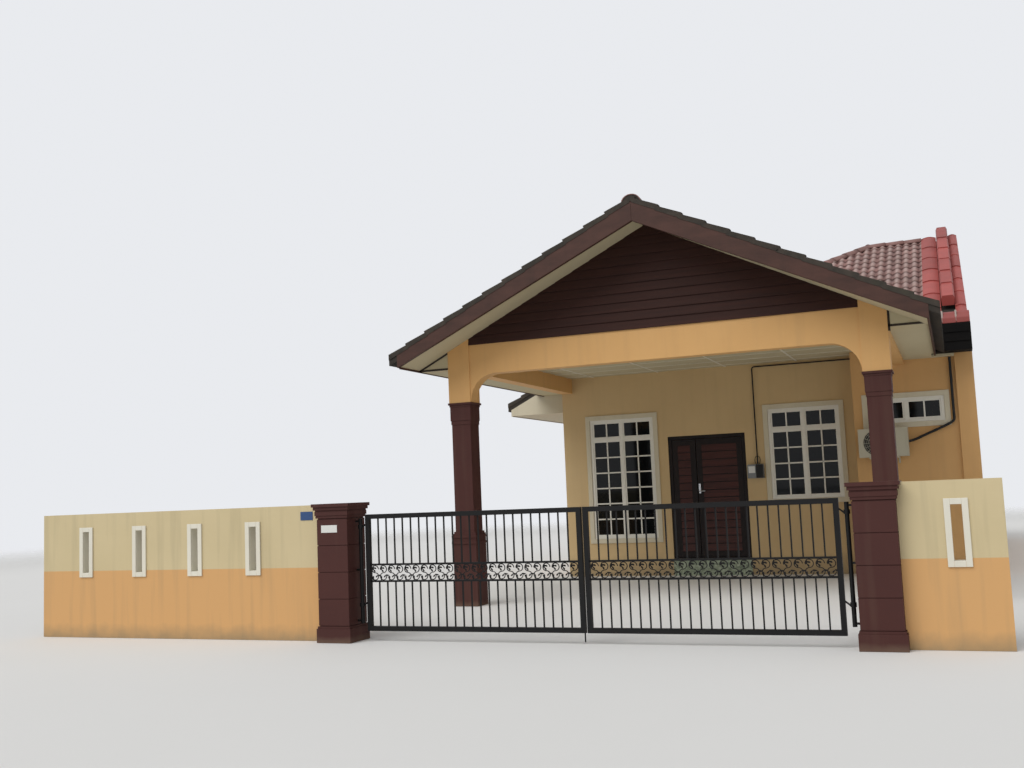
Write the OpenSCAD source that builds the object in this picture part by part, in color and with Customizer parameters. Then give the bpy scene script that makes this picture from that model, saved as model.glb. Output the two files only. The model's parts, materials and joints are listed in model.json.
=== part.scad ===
// Single-storey semi-detached bungalow with a gabled car porch and its own front gate.
// Millimetres. +Z up, -Y is the street side, X runs along the front.
// Ground level is z = 0; the origin is the middle of the footprint on the ground.

/* [Body] */
// length of the front along X, outer side wall to the outer face of the party wall
body_w = 6940; // [6400:10:7600]
// depth of the rooms, front wall face to rear wall face
body_d = 10050; // [9000:10:11500]
// masonry wall thickness with plaster
wall_t = 150; // [110:5:230]
// thickness of the wall shared with the twin house
party_t = 260; // [200:5:300]
// finished floor above the ground
floor_z = 290; // [150:5:450]
// how far the step under the front door stands out
step_d = 40; // [20:5:400]
// how far the end of the party wall stands out from the bay
pier_out = 60; // [20:5:150]
// how far the bay beside the porch comes forward
bay_out = 600; // [300:10:1200]
// left corner of the bay
bay_x = 5130; // [4900:10:5400]

/* [Front door] */
// left edge of the doorway
door_x = 1927; // [1600:1:2200]
// clear width of the doorway
door_w = 1348; // [1100:1:1500]
// clear height of the doorway
door_h = 2120; // [2000:5:2300]
// width of the frame section
door_fr = 60; // [40:1:90]
// how far the frame is set back from the wall face
door_back = 20; // [0:1:60]
// how far the leaves are set back from the face of the frame
leaf_back = 8; // [0:1:20]
// height of the sill section
sill_t = 15; // [10:1:40]
// thickness of a leaf
leaf_t = 44; // [35:1:55]
// share of the clear width taken by the narrow leaf
leaf_share = 0.34; // [0.30:0.01:0.50]
// running gap round each leaf
leaf_gap = 6; // [5:0.5:10]
// gap between the two leaves
meet_gap = 12; // [10:0.5:20]
// width of stiles and rails
stile_w = 95; // [50:1:110]
// depth of the field between them
field_d = 10; // [4:1:16]
// radius of a hinge knuckle
knuckle_r = 8; // [6:0.5:10]
// length of a hinge knuckle
knuckle_h = 45; // [30:1:60]

/* [Windows] */
// height of the head of every window band above ground
win_head = 2858; // [2600:1:3000]
// width of the white plaster band round a window
band_w = 80; // [60:5:150]
// how far the band stands out from the wall
band_out = 20; // [10:1:40]
// left edge of the left window band on the front
win_l_x = 427; // [300:1:600]
// overall width of a two-light window band
win_2w = 1330; // [1100:5:1500]
// sill of the tall left window band
win_l_z = 579; // [400:1:900]
// left edge of the right window band on the front
win_r_x = 3600; // [3400:1:3800]
// sill of the ordinary window bands
win_sill = 1173; // [900:1:1400]
// sill of the high window band in the bay
win_hi_z = 2310; // [2100:5:2500]
// high window band, in from the corner of the bay
win_hi_l = 135; // [60:5:200]
// high window band, in from the party wall
win_hi_r = 115; // [60:5:200]
// overall width of the three-light kitchen window band
win_3w = 1800; // [1500:5:2100]
// front edge of the bedroom window band on the side, from the front wall
side_win1_y = 1200; // [900:5:1600]
// front edge of the kitchen window band on the side
side_win2_y = 4850; // [4500:5:5200]
// near edge of the side doorway
side_door_y = 7250; // [7000:5:7500]
// width of the side doorway
side_door_w = 900; // [800:5:1000]
// how far the side door is set back from the wall face
side_door_back = 20; // [0:1:60]
// left edge of the rear window band
rear_win_x = 2100; // [1500:5:4000]
// white frame section
fr_w = 45; // [30:1:70]
// white frame depth
fr_d = 60; // [40:1:90]
// height of the top lights
top_light = 330; // [250:5:420]

/* [Porch] */
// distance from the front wall to the face of the porch beam
porch_d = 4790; // [4200:10:6000]
// outer face to outer face of the porch columns
porch_w = 5940; // [5000:10:6400]
// plastered column head, square
head_s = 330; // [250:5:400]
// underside of the porch beam
beam_z = 3221; // [2900:1:3400]
// height of the gable boarding at its ends, over the porch beam
gable_foot = 25; // [10:1:60]
// thickness of the porch beam
beam_t = 200; // [150:5:300]
// how far the column heads stand proud of the beam
head_out = 15; // [5:1:40]
// flat at the foot of each haunch
haunch_lip = 5; // [2:1:20]
// thickness of the gable boarding
board_t = 60; // [30:5:90]
// top of the painted columns
col_top = 2836; // [2500:1:2900]
// upper shaft of a column, square
shaft_s = 286; // [220:5:340]
// lower block of a column, square
block_s = 350; // [280:5:420]
// top of the lower block
block_z = 860; // [700:5:1200]
// how far column mouldings stand out
mould = 14; // [8:1:30]
// underside of the side beams
side_beam_z = 3300; // [3000:5:3500]
// top of the porch ceiling below the top of the porch beam
ceil_drop = 60; // [20:5:150]

/* [Roof] */
// pitch of every slope
pitch = 26.2; // [20:0.1:35]
// height of the slope faces at the porch, front and rear eaves
eave_z = 3444; // [3380:1:3600]
// overhang of the porch roof beyond the sides of the porch
side_over = 609; // [500:1:700]
// overhang of the porch roof in front of the beam
front_over = 632; // [400:1:900]
// thickness of rafters, battens and tile beds, square to the slope
slab_t = 70; // [60:5:120]
// distance between the rolls of the tiles
rib_p = 155; // [120:5:200]
// height of a roll
rib_h = 38; // [20:1:45]
// width of a roll at its crown
rib_top = 26; // [15:1:50]
// width of a roll at its foot
rib_foot = 112; // [80:1:118]
// rear eave of the main roof, behind the rear wall
rear_over = 620; // [500:10:800]
// front eave of the main roof, forward of the front wall
main_over = 1000; // [700:10:1300]
// where the wide side eave starts, behind the front wall
low_y0 = 300; // [0:10:900]
// where the wide side eave ends
low_y1 = 4300; // [3600:10:5000]
// overhang of the wide side eave from the wall
low_over = 1200; // [900:10:1300]
// depth of the barge boards, plumb
barge_h = 180; // [120:5:300]
// Height of the barge boards at the foot
barge_foot_h = 100; // [60:5:180]
// thickness of barge boards and fascias
barge_t = 25; // [15:1:40]
// how far the tiles run past the boards under them
tile_over = 60; // [20:5:100]
// how far the raking soffit lies below the tiles' underside
rake_drop = 86; // [60:1:200]
// underside of the boxed eaves left of the porch and at the rear, below the slope face at the tips
soffit_drop = 119; // [80:1:250]
// underside of the wide side eave, below the slope face at its own tips
low_soffit_drop = 163; // [140:1:220]
// underside of the eave right of the porch, below the slope face at the tips
right_soffit_drop = 74; // [70:1:200]
// how far a fascia hangs below its soffit
fascia_lip = 10; // [0:1:40]
// thickness of soffit sheets
sheet_t = 12; // [6:1:20]
// radius of ridge and hip tiles
cap_r = 130; // [90:5:170]
// how far the crown of ridge and hip tiles rises above the slope face
cap_rise = 100; // [60:5:120]
// width of the flat red row beside the raised one at the party wall
flank_w = 270; // [200:5:400]
// width of the raised red row
crest_w = 250; // [200:5:350]
// width of the flat red row on the far side of the raised one
flank_r = 150; // [100:5:300]
// height of the raised red row, square to the slope
crest_h = 265; // [150:5:300]
// lower end of the raised red row, behind the front wall face
crest_y = 700; // [0:10:1500]
// thickness of the flat red row
flank_t = 60; // [30:1:80]
// reach of the eave box in front of the main eave
box_fwd = 200; // [100:5:400]
// left end of the eave box, in from the tile tips
box_in = 190; // [100:5:300]
// underside of the eave box, below the slope face at the tips
box_drop = 44; // [20:1:60]
// height of the eave box
box_h = 410; // [300:5:600]
// height of the red row on the eave box
box_cap_h = 200; // [120:5:260]

/* [Frontage] */
// gate pillar, square
pillar_s = 380; // [300:5:450]
// gate pillar height with its cap
pillar_h = 1500; // [1200:5:1800]
// height of a pillar's neck and cap
cap_h = 170; // [120:5:240]
// how far the top of a pillar cap stands out
cap_out = 45; // [25:5:70]
// depth and height of the grooves in a pillar
groove = 8; // [4:1:15]
// height of the moulding over the plinth
plinth_mould = 25; // [15:1:40]
// left face of the left gate pillar
pillar_x0 = 30; // [-200:5:400]
// left face of the right gate pillar
pillar_x1 = 5675; // [5200:5:6000]
// street face of the pillars, in front of the front wall
gate_d = 8347; // [7500:5:9500]
// boundary wall height
fence_h = 1490; // [1200:5:1800]
// boundary wall thickness
fence_t = 115; // [90:5:150]
// number of slot bays left of the gate
slot_n = 4; // [1:1:6]
// distance between slots
slot_p = 817; // [600:1:1000]
// width of a slot
slot_w = 100; // [60:5:150]
// height of a slot
slot_h = 500; // [300:5:700]
// underside of a slot above ground
slot_z = 775; // [600:5:900]
// how far the band round a slot stands out
slot_lip = 15; // [5:1:30]
// bottom of the gate leaves
gate_z = 110; // [60:5:200]
// height of the gate leaves
gate_h = 1255; // [1000:5:1500]
// gate tube section
tube = 50; // [30:1:60]
// gate bar section
bar = 14; // [8:1:20]
// section of the two middle rails
rail = 20; // [12:1:30]
// bars in each half of a gate leaf
bars_n = 23; // [12:1:30]
// lower middle rail above the bottom of the leaf
rail_z1 = 520; // [300:5:600]
// upper middle rail above the bottom of the leaf
rail_z2 = 700; // [610:5:900]
// thickness of the scroll strip
scroll_t = 8; // [5:1:12]
// radius of the hinge post
post_r = 21; // [15:1:30]
// middle of the hinge post from the face of its pillar
post_off = 60; // [56:1:90]
// bottom of the hinge post
post_z = 190; // [160:5:300]
// top of the hinge post below the top of its pillar
post_drop = 175; // [100:5:300]
// lower hinge arm above the bottom of the gate leaf
arm_z = 260; // [180:5:400]
// edge of the leaf from the middle of the hinge post
hinge_gap = 70; // [50:5:120]
// gap between the two gate leaves
gate_meet = 20; // [10:1:40]
// running clearance of the hinge eyes
eye_gap = 0.3; // [0.2:0.1:0.5]

// left end of the outdoor unit
ac_x = 5200; // [5150:5:5500]
// underside of the outdoor unit
ac_z = 1860; // [1500:5:2000]
// width of the outdoor unit
ac_w = 730; // [600:5:900]
// depth of the outdoor unit
ac_d = 280; // [220:5:350]
// height of the outdoor unit
ac_h = 440; // [400:5:445]
// gap between the outdoor unit and the wall
ac_gap = 100; // [50:5:150]
// left end of the electricity meter
meter_x = 3300; // [3285:5:3320]
// underside of the electricity meter
meter_z = 1620; // [1400:5:1800]
// width of the electricity meter
meter_w = 270; // [150:5:290]
// depth of the electricity meter
meter_d = 90; // [60:5:140]
// height of the electricity meter
meter_h = 235; // [150:5:300]

/* [Hidden] */

$fn = 32;
eps = 1;
seat = 0.3;
m = tan(pitch);
drop = slab_t / cos(pitch);
low_x = -low_over;
xc = porch_w / 2;
half_w = xc + side_over;
ridge_z = eave_z + m * half_w;
tip_l = xc - half_w;
tip_r = xc + half_w;
rear_y = body_d + rear_over;
main_run = (rear_y + main_over) / 2;
main_z = eave_z + m * main_run;
main_x = tip_l + main_run;
main_y = main_run - main_over;
front_y = -porch_d - front_over;
join_y = half_w - main_over;
under_z = eave_z - drop;
plate_z = under_z + m * side_over - seat;
beam_top = plate_z - gable_foot;
ceil_z = beam_top - ceil_drop;
soffit_z = eave_z - soffit_drop;
right_soffit_z = eave_z - right_soffit_drop;
low_tile_z = eave_z - m * (tip_l - low_x);
low_soffit_z = low_tile_z - low_soffit_drop;
box_z = eave_z - box_drop;
rear_top = min(plate_z, under_z + m * (rear_y - body_d) - seat);
bay_top = under_z + m * (main_over - bay_out) - seat;
fascia_in = tile_over;
party_x = body_w - party_t;
win_hi_x = bay_x + win_hi_l;
win_hi_w = party_x - win_hi_r - win_hi_x;
pane_front = 0.45 * fr_d;
pane_back = 0.6 * fr_d;
knuckle_at = [0.12, 0.5, 0.88];
rib_rise = rib_h / cos(pitch);
bed_ridge = rib_rise + seat;
bed_hip = rib_rise * cos(atan(m / sqrt(2))) + seat;
hip_fall = m / sqrt(2) * cos(atan(m / sqrt(2)));
head_top = ridge_z - drop - rake_drop - sheet_t - m * xc - seat;
box_l = tip_r - box_in;
coping_x = body_w - flank_r - crest_w - flank_w;
box_f = -main_over - box_fwd;
box_b = -main_over + box_in;
clear_w = door_w - 2 * door_fr;
leaf_y = door_back + leaf_back;
leaf_z = floor_z + sill_t + leaf_gap;
leaf_h = door_h - door_fr - sill_t - 2 * leaf_gap;
leaf_sum = clear_w - 2 * leaf_gap - meet_gap;
left_w = leaf_sum * leaf_share;
right_w = leaf_sum - left_w;
door_fd = leaf_back + leaf_t;
knuckle_y = leaf_y + leaf_t + knuckle_r + leaf_gap;
fence_y = -gate_d + (pillar_s - fence_t) / 2;
gate_y = -gate_d + pillar_s / 2;
slot_gap = 940;
slot_end = 690;
slot_x0 = pillar_x0 - slot_gap;
fence_x0 = slot_x0 - (slot_n - 1) * slot_p - slot_end;
post_x0 = pillar_x0 + pillar_s + post_off;
post_x1 = pillar_x1 - post_off;
gate_x0 = post_x0 + hinge_gap;
gate_x1 = post_x1 - hinge_gap;
gate_mid = (gate_x0 + gate_x1) / 2;
arm_top = gate_z + gate_h - tube - 5 * rail;
// courses of a pillar cap: bottom and top as shares of cap_h, side out as a share of cap_out
cap_steps = [[0, 0.07, -0.36], [0.07, 0.24, 0.44], [0.24, 0.5, 0.8], [0.5, 0.59, 0.62],
    [0.59, 0.79, 1.33], [0.79, 1, 2]];
box_x0 = fence_x0;
box_x1 = body_w;
box_y0 = -gate_d - cap_out;
box_y1 = rear_y;

// Puts the middle of the footprint at the origin.
module place() {
    translate([-(box_x0 + box_x1) / 2, -(box_y0 + box_y1) / 2, 0]) children();
}

// Upright wall panel seen from the front: size in X and Z, thickness back along Y.
module panel(x0, x1, y, z0, z1, t) {
    translate([x0, y, z0]) cube([x1 - x0, t, z1 - z0]);
}

// Clear opening behind a window band, for a wall lying along X.
module hole_x(x, w, z, y, t) {
    translate([x + band_w, y - eps, z + band_w])
        cube([w - 2 * band_w, t + 2 * eps, win_head - z - 2 * band_w]);
}

// Window unit for a wall lying along X with its face at y = 0: band, frame, bars of the frame, pane.
module window_unit(w, h, lights) {
    ow = w - 2 * band_w;
    oh = h - 2 * band_w;
    lw = (ow - fr_w) / lights;
    tall = oh > 2 * top_light;
    difference() {
        union() {
            translate([0, -band_out, 0]) cube([w, band_out, h]);
            translate([band_w + seat, 0, band_w + seat])
                cube([ow - 2 * seat, fr_d, oh - 2 * seat]);
        }
        for (i = [0:lights - 1])
            translate([band_w + fr_w + i * lw, -band_out - eps, band_w + fr_w])
                cube([lw - fr_w, band_out + pane_front + eps, (tall ? oh - top_light : oh) - 2 * fr_w]);
        if (tall)
            for (i = [0:lights - 1])
                translate([band_w + fr_w + i * lw, -band_out - eps, band_w + oh - top_light])
                    cube([lw - fr_w, band_out + pane_front + eps, top_light - fr_w]);
        for (i = [0:lights - 1])
            translate([band_w + fr_w + i * lw, pane_back, band_w + fr_w])
                cube([lw - fr_w, fr_d, (tall ? oh - top_light : oh) - 2 * fr_w]);
        if (tall)
            for (i = [0:lights - 1])
                translate([band_w + fr_w + i * lw, pane_back, band_w + oh - top_light])
                    cube([lw - fr_w, fr_d, top_light - fr_w]);
    }
}

// Square post made of stacked plain and stepped courses: list of [bottom, top, side].
module courses(cx, cy, list) {
    for (c = list)
        translate([cx - c[2] / 2, cy - c[2] / 2, c[0]]) cube([c[2], c[2], c[1] - c[0]]);
}

// Outline of a row of tile rolls across the slope.
function rolls(n) = let (a = (rib_p - rib_foot) / 2, b = (rib_p - rib_top) / 2)
    [for (i = [0:1:n - 1]) each [[i * rib_p + a, 0], [i * rib_p + b, rib_h],
        [(i + 1) * rib_p - b, rib_h], [(i + 1) * rib_p - a, 0]]];

// Slope from an eave corner, turned about the upright, with n rolls; clipped to a plan outline.
module slope(x, y, turn, n, outline) {
    reach = 2 * main_run;
    end = n * rib_p + reach;
    intersection() {
        translate([0, 0, eave_z - reach]) linear_extrude(2 * reach) polygon(outline);
        translate([x, y, eave_z]) rotate([pitch, 0, turn]) translate([0, reach, 0])
            rotate([90, 0, 0]) linear_extrude(2 * reach)
                polygon(concat([[-reach, -slab_t], [-reach, 0]], rolls(n),
                    [[end, 0], [end, -slab_t]]));
    }
}

// Section of a ridge tile bedded on the rolls of two slopes that fall at the given rate.
module cap_section(fall, bed) {
    w = 2 * cap_r;
    difference() {
        translate([0, cap_rise - cap_r]) circle(r = cap_r, $fn = 48);
        polygon([[0, bed], [w, bed - w * fall], [w, -3 * w], [-w, -3 * w], [-w, bed - w * fall]]);
    }
}

// Run of ridge tiles between two points on the slope faces, longer by cap_r at each end.
module cap_run(a, b, fall, bed) {
    v = b - a;
    l = norm(v);
    translate(a) rotate([0, 0, atan2(v[1], v[0])]) rotate([0, -asin(v[2] / l), 0])
        rotate([90, 0, 90]) translate([0, 0, -2 * cap_r]) linear_extrude(l + 4 * cap_r)
            cap_section(fall, bed);
}

// Space between two planes across Y and left of or right of a plane across X.
module span_y(y0, y1, x0, x1) {
    translate([x0, y0, 0]) cube([x1 - x0, y1 - y0, 2 * main_z]);
}

module floor_slab() {
    color("gainsboro") place()
        translate([wall_t + seat, wall_t + seat, 0])
            cube([party_x - wall_t - 2 * seat, body_d - 2 * wall_t - 2 * seat, floor_z]);
}

module door_step() {
    color("darkseagreen") place() translate([door_x, -step_d - seat, 0])
        cube([door_w, step_d, floor_z - seat]);
}

module front_wall_left() {
    color("khaki") place() difference() {
        panel(0, door_x, 0, 0, plate_z, wall_t);
        hole_x(win_l_x, win_2w, win_l_z, 0, wall_t);
    }
}

module front_wall_right() {
    color("khaki") place() difference() {
        panel(door_x + door_w, bay_x + wall_t, 0, 0, plate_z, wall_t);
        hole_x(win_r_x, win_2w, win_sill, 0, wall_t);
    }
}

module front_wall_over_door() {
    color("khaki") place()
        panel(door_x + seat, door_x + door_w - seat, 0, floor_z + door_h, plate_z, wall_t);
}

module bay_wall() {
    color("sandybrown") place() difference() {
        union() {
            panel(bay_x, party_x - seat, -bay_out, 0, bay_top, wall_t);
            panel(bay_x, bay_x + wall_t, -bay_out, 0, bay_top, bay_out - seat);
        }
        hole_x(win_hi_x, win_hi_w, win_hi_z, -bay_out, wall_t);
    }
}

module side_wall() {
    color("sandybrown") place() difference() {
        translate([0, wall_t + seat, 0]) cube([wall_t, body_d - wall_t - seat, plate_z]);
        for (w = [[side_win1_y, win_2w], [side_win2_y, win_3w]])
            translate([-eps, w[0] + band_w, win_sill + band_w])
                cube([wall_t + 2 * eps, w[1] - 2 * band_w, win_head - win_sill - 2 * band_w]);
        translate([-eps, side_door_y, floor_z]) cube([wall_t + 2 * eps, side_door_w, door_h]);
    }
}

module rear_wall() {
    color("sandybrown") place() difference() {
        panel(wall_t + seat, party_x - seat, body_d - wall_t, 0, rear_top, wall_t);
        hole_x(rear_win_x, win_3w, win_sill, body_d - wall_t, wall_t);
    }
}

module party_wall() {
    front = -bay_out - pier_out;
    low = under_z - seat;
    color("sandybrown") place()
        translate([party_x, 0, 0]) rotate([90, 0, 90]) linear_extrude(party_t)
            polygon([[front, 0], [body_d, 0], [body_d, low + m * (rear_y - body_d)],
                [main_y, main_z - drop - seat], [front, low + m * (main_over + front)]]);
}

module window_front_left() {
    color("white") place() translate([win_l_x, -seat, win_l_z])
        window_unit(win_2w, win_head - win_l_z, 2);
}

module window_front_right() {
    color("white") place() translate([win_r_x, -seat, win_sill])
        window_unit(win_2w, win_head - win_sill, 2);
}

module window_bay() {
    color("white") place() translate([win_hi_x, -bay_out - seat, win_hi_z])
        window_unit(win_hi_w, win_head - win_hi_z, 2);
}

module window_bedroom() {
    color("white") place() translate([-seat, side_win1_y + win_2w, win_sill]) rotate([0, 0, -90])
        window_unit(win_2w, win_head - win_sill, 2);
}

module window_kitchen() {
    color("white") place() translate([-seat, side_win2_y + win_3w, win_sill]) rotate([0, 0, -90])
        window_unit(win_3w, win_head - win_sill, 3);
}

module window_rear() {
    color("white") place() translate([rear_win_x + win_3w, body_d + seat, win_sill])
        rotate([0, 0, 180]) window_unit(win_3w, win_head - win_sill, 3);
}

// Hinge knuckles on one upright line, every other one left out, each on its flap.
module knuckles(first, dir) {
    for (z = knuckle_at)
        translate([0, 0, leaf_z + z * leaf_h - knuckle_h + first * (knuckle_h + seat)]) {
            cylinder(r = knuckle_r, h = knuckle_h);
            translate([dir > 0 ? 0 : -stile_w / 2, -knuckle_r - leaf_gap, 0])
                cube([stile_w / 2, knuckle_r + leaf_gap, knuckle_h]);
        }
}

module door_frame() {
    color("dimgray") place() {
        difference() {
            translate([door_x + seat, door_back, floor_z + seat])
                cube([door_w - 2 * seat, door_fd, door_h - 2 * seat]);
            translate([door_x + door_fr, door_back - eps, floor_z + sill_t])
                cube([clear_w, door_fd + 2 * eps, door_h - door_fr - sill_t]);
        }
        translate([door_x + door_fr + leaf_gap / 2, knuckle_y, 0]) knuckles(0, -1);
        translate([door_x + door_w - door_fr - leaf_gap / 2, knuckle_y, 0]) knuckles(0, 1);
    }
}

// Leaf: stiles and rails round a field that lies back from the face.
module leaf(w) {
    difference() {
        cube([w, leaf_t, leaf_h]);
        translate([stile_w, -eps, stile_w])
            cube([w - 2 * stile_w, field_d + eps, leaf_h - 2 * stile_w]);
    }
}

module door_leaf_left() {
    color("maroon") place() {
        translate([door_x + door_fr + leaf_gap, leaf_y, leaf_z]) leaf(left_w);
        translate([door_x + door_fr + leaf_gap / 2, knuckle_y, 0]) knuckles(1, 1);
    }
}

module door_leaf_right() {
    color("maroon") place() {
        translate([door_x + door_w - door_fr - leaf_gap - right_w, leaf_y, leaf_z]) leaf(right_w);
        translate([door_x + door_w - door_fr - leaf_gap / 2, knuckle_y, 0]) knuckles(1, -1);
    }
}

module side_door() {
    color("white") place() translate([side_door_back, side_door_y + seat, floor_z + seat])
        cube([leaf_t + field_d, side_door_w - 2 * seat, door_h - 2 * seat]);
}

// Painted porch column: wide lower block, banded middle, shaft, neck ring and flared cap.
module column_at(cx, cy) {
    ring = 2 * mould;
    courses(cx, cy, [
        [0, block_z, block_s], [block_z, block_z + ring, block_s + ring],
        [block_z + ring, block_z + 3 * ring, block_s],
        [block_z + 3 * ring, block_z + 4 * ring, block_s + ring],
        [block_z + 4 * ring, block_z + 5 * ring, block_s],
        [block_z + 5 * ring, block_z + 6 * ring, block_s - ring],
        [block_z + 6 * ring, col_top - 11 * ring, shaft_s],
        [col_top - 11 * ring, col_top - 9 * ring, shaft_s + mould],
        [col_top - 9 * ring, col_top - 2 * ring, shaft_s + ring],
        [col_top - 2 * ring, col_top - ring, shaft_s + 3 * mould],
        [col_top - ring, col_top, head_s + ring]]);
}

module porch_column_left() {
    color("brown") place() column_at(head_s / 2, -porch_d - head_out + head_s / 2);
}

module porch_column_right() {
    color("brown") place() column_at(porch_w - head_s / 2, -porch_d - head_out + head_s / 2);
}

// Front beam with its two column heads and quarter-round haunches.
module porch_beam_front() {
    low = col_top + seat;
    r = beam_z - low;
    x0 = head_s + haunch_lip + r;
    color("sandybrown") place() {
        translate([0, -porch_d + beam_t, 0]) rotate([90, 0, 0]) linear_extrude(beam_t)
            difference() {
                translate([0, low]) square([porch_w, beam_top - low]);
                translate([x0, low - eps]) square([porch_w - 2 * x0, r + eps]);
                for (x = [x0, porch_w - x0]) translate([x, low]) circle(r = r, $fn = 64);
            }
        for (x = [0, porch_w - head_s]) translate([x, -porch_d - head_out, low])
            cube([head_s, head_s, head_top - low]);
    }
}

// Beam from a column head back to the wall, with a small quarter-round haunch at the head.
module side_beam(len) {
    r = side_beam_z - beam_z + beam_t / 2;
    rotate([90, 0, 90]) linear_extrude(beam_t) difference() {
        translate([0, side_beam_z - r]) square([len, plate_z - side_beam_z + r]);
        translate([haunch_lip + r, side_beam_z - r - eps]) square([len, r + eps]);
        translate([haunch_lip + r, side_beam_z - r]) circle(r = r, $fn = 48);
    }
}

module porch_beam_left() {
    y = -porch_d - head_out + head_s + seat;
    color("sandybrown") place() translate([0, y, 0]) side_beam(-y - seat);
}

module porch_beam_right() {
    y = -porch_d - head_out + head_s + seat;
    color("sandybrown") place() translate([porch_w - beam_t, y, 0]) side_beam(-bay_out - y - seat);
}

module porch_ceiling() {
    x0 = beam_t + seat;
    x1 = porch_w - beam_t - seat;
    y0 = -porch_d + beam_t + seat;
    c = head_s + seat;
    y2 = -porch_d - head_out + head_s + seat;
    color("white") place() translate([0, 0, ceil_z - sheet_t]) linear_extrude(sheet_t)
        polygon([[c, y0], [porch_w - c, y0], [porch_w - c, y2], [x1, y2], [x1, -bay_out - seat],
            [bay_x - seat, -bay_out - seat], [bay_x - seat, -seat], [x0, -seat], [x0, y2], [c, y2]]);
}

module gable_boarding() {
    low = beam_top + seat;
    color("saddlebrown") place()
        translate([xc, -porch_d + board_t, 0]) rotate([90, 0, 0]) linear_extrude(board_t)
            polygon([[-xc, low], [xc, low], [xc, plate_z], [0, ridge_z - drop - seat],
                [-xc, plate_z]]);
}

// Sloping board under the tile tips, cut plumb at the foot and mitred at the ridge.
module barge(side) {
    top = ridge_z - drop - seat;
    foot = half_w - tile_over;
    translate([xc, front_y + tile_over / 2 + barge_t, 0]) rotate([90, 0, 0])
        linear_extrude(barge_t)
            polygon([[0, top - barge_h], [0, top], [side * foot, top - m * foot],
                [side * foot, top - m * foot - barge_foot_h]]);
}

module barge_left() {
    color("brown") place() translate([-seat, 0, 0]) barge(-1);
}

module barge_right() {
    color("brown") place() translate([seat, 0, 0]) barge(1);
}

// Sheet under the overhang in front of the gable; each foot rests on the sheet of its eave.
module rake_soffit() {
    top = ridge_z - drop - rake_drop;
    most = half_w - tile_over - barge_t - 2 * seat;
    l = min(most, (top - 2 * sheet_t - soffit_z - seat) / m);
    r = min(most, (top - 2 * sheet_t - right_soffit_z - seat) / m);
    front = front_y + tile_over / 2 + barge_t + seat;
    color("wheat") place() translate([xc, -porch_d - seat, 0]) rotate([90, 0, 0])
        linear_extrude(-porch_d - seat - front)
            polygon([[0, top], [r, top - m * r], [r, top - m * r - sheet_t],
                [0, top - sheet_t], [-l, top - m * l - sheet_t], [-l, top - m * l]]);
}

// Boxed eave along Y: fascia board and soffit sheet in one L. z_tile is the tile face at its tips.
module eave_y(x, wall_x, y0, y1, z_tile, z_soffit) {
    s = x < wall_x ? 1 : -1;
    top = z_tile - drop + m * fascia_in - seat;
    low = z_soffit - fascia_lip;
    translate([0, y1, 0]) rotate([90, 0, 0]) linear_extrude(y1 - y0)
        polygon([[x, low], [x, top], [x + s * barge_t, top], [x + s * barge_t, z_soffit + sheet_t],
            [wall_x - s * seat, z_soffit + sheet_t], [wall_x - s * seat, z_soffit],
            [x + s * barge_t, z_soffit], [x + s * barge_t, low]]);
}

// Sheet closing a boxed eave across its end, between the fascia and the wall line.
module eave_end(x, wall_x, y, z_tile, z_soffit) {
    top = z_tile - drop + m * fascia_in - seat;
    s = x < wall_x ? 1 : -1;
    translate([0, y + sheet_t, 0]) rotate([90, 0, 0]) linear_extrude(sheet_t)
        polygon([[x, z_soffit], [x, top], [wall_x - s * seat, top + m * abs(wall_x - s * seat - x)],
            [wall_x - s * seat, z_soffit]]);
}

module eave_left_porch() {
    x = tip_l + fascia_in;
    color("dimgray") place() {
        eave_y(x, 0, front_y + tile_over / 2 + barge_t + seat, low_y0 - seat, eave_z, soffit_z);
        eave_end(x, 0, -porch_d, eave_z, soffit_z);
    }
}

// Wide eave over the two side windows, closed at both ends by boards under the tiles.
module eave_left_low() {
    x = low_x + fascia_in;
    color("dimgray") place() {
        eave_y(x, 0, low_y0, low_y1, low_tile_z, low_soffit_z);
        for (y = [low_y0, low_y1 - sheet_t]) eave_end(x, 0, y, low_tile_z, low_soffit_z);
    }
}

module eave_left_rear() {
    color("dimgray") place()
        eave_y(tip_l + fascia_in, 0, low_y1 + seat, rear_y - fascia_in, eave_z, soffit_z);
}

// Right eave: runs back to the eave box, its soffit on to the bay wall.
module eave_right() {
    x = tip_r - fascia_in;
    front = front_y + tile_over / 2 + barge_t + seat;
    color("dimgray") place() {
        eave_y(x, porch_w, front, box_f - seat, eave_z, right_soffit_z);
        eave_end(x, porch_w, -porch_d, eave_z, right_soffit_z);
        translate([0, 0, right_soffit_z]) linear_extrude(sheet_t)
            polygon([[porch_w + seat, box_f - eps], [box_l - seat, box_f - eps],
                [box_l - seat, box_b + seat], [party_x - seat, box_b + seat],
                [party_x - seat, -bay_out - seat], [porch_w + seat, -bay_out - seat]]);
    }
}

module eave_rear() {
    y = rear_y - fascia_in;
    top = under_z + m * fascia_in - seat;
    color("dimgray") place()
        rotate([90, 0, 90]) linear_extrude(body_w)
            polygon([[y, soffit_z - fascia_lip], [y, top], [y - barge_t, top],
                [y - barge_t, soffit_z + sheet_t], [body_d + seat, soffit_z + sheet_t],
                [body_d + seat, soffit_z], [y - barge_t, soffit_z],
                [y - barge_t, soffit_z - fascia_lip]]);
}

module party_eave_box() {
    t = box_h / 3;
    q = barge_t / 2;
    d = box_b - box_f;
    color("black") place() translate([box_l, box_f, box_z]) rotate([90, 0, 90])
        linear_extrude(body_w - box_l)
            polygon([[2 * q, 0], [2 * q, t], [q, t], [q, 2 * t], [0, 2 * t], [0, box_h],
                [d, box_h], [d, 0]]);
}

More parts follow.
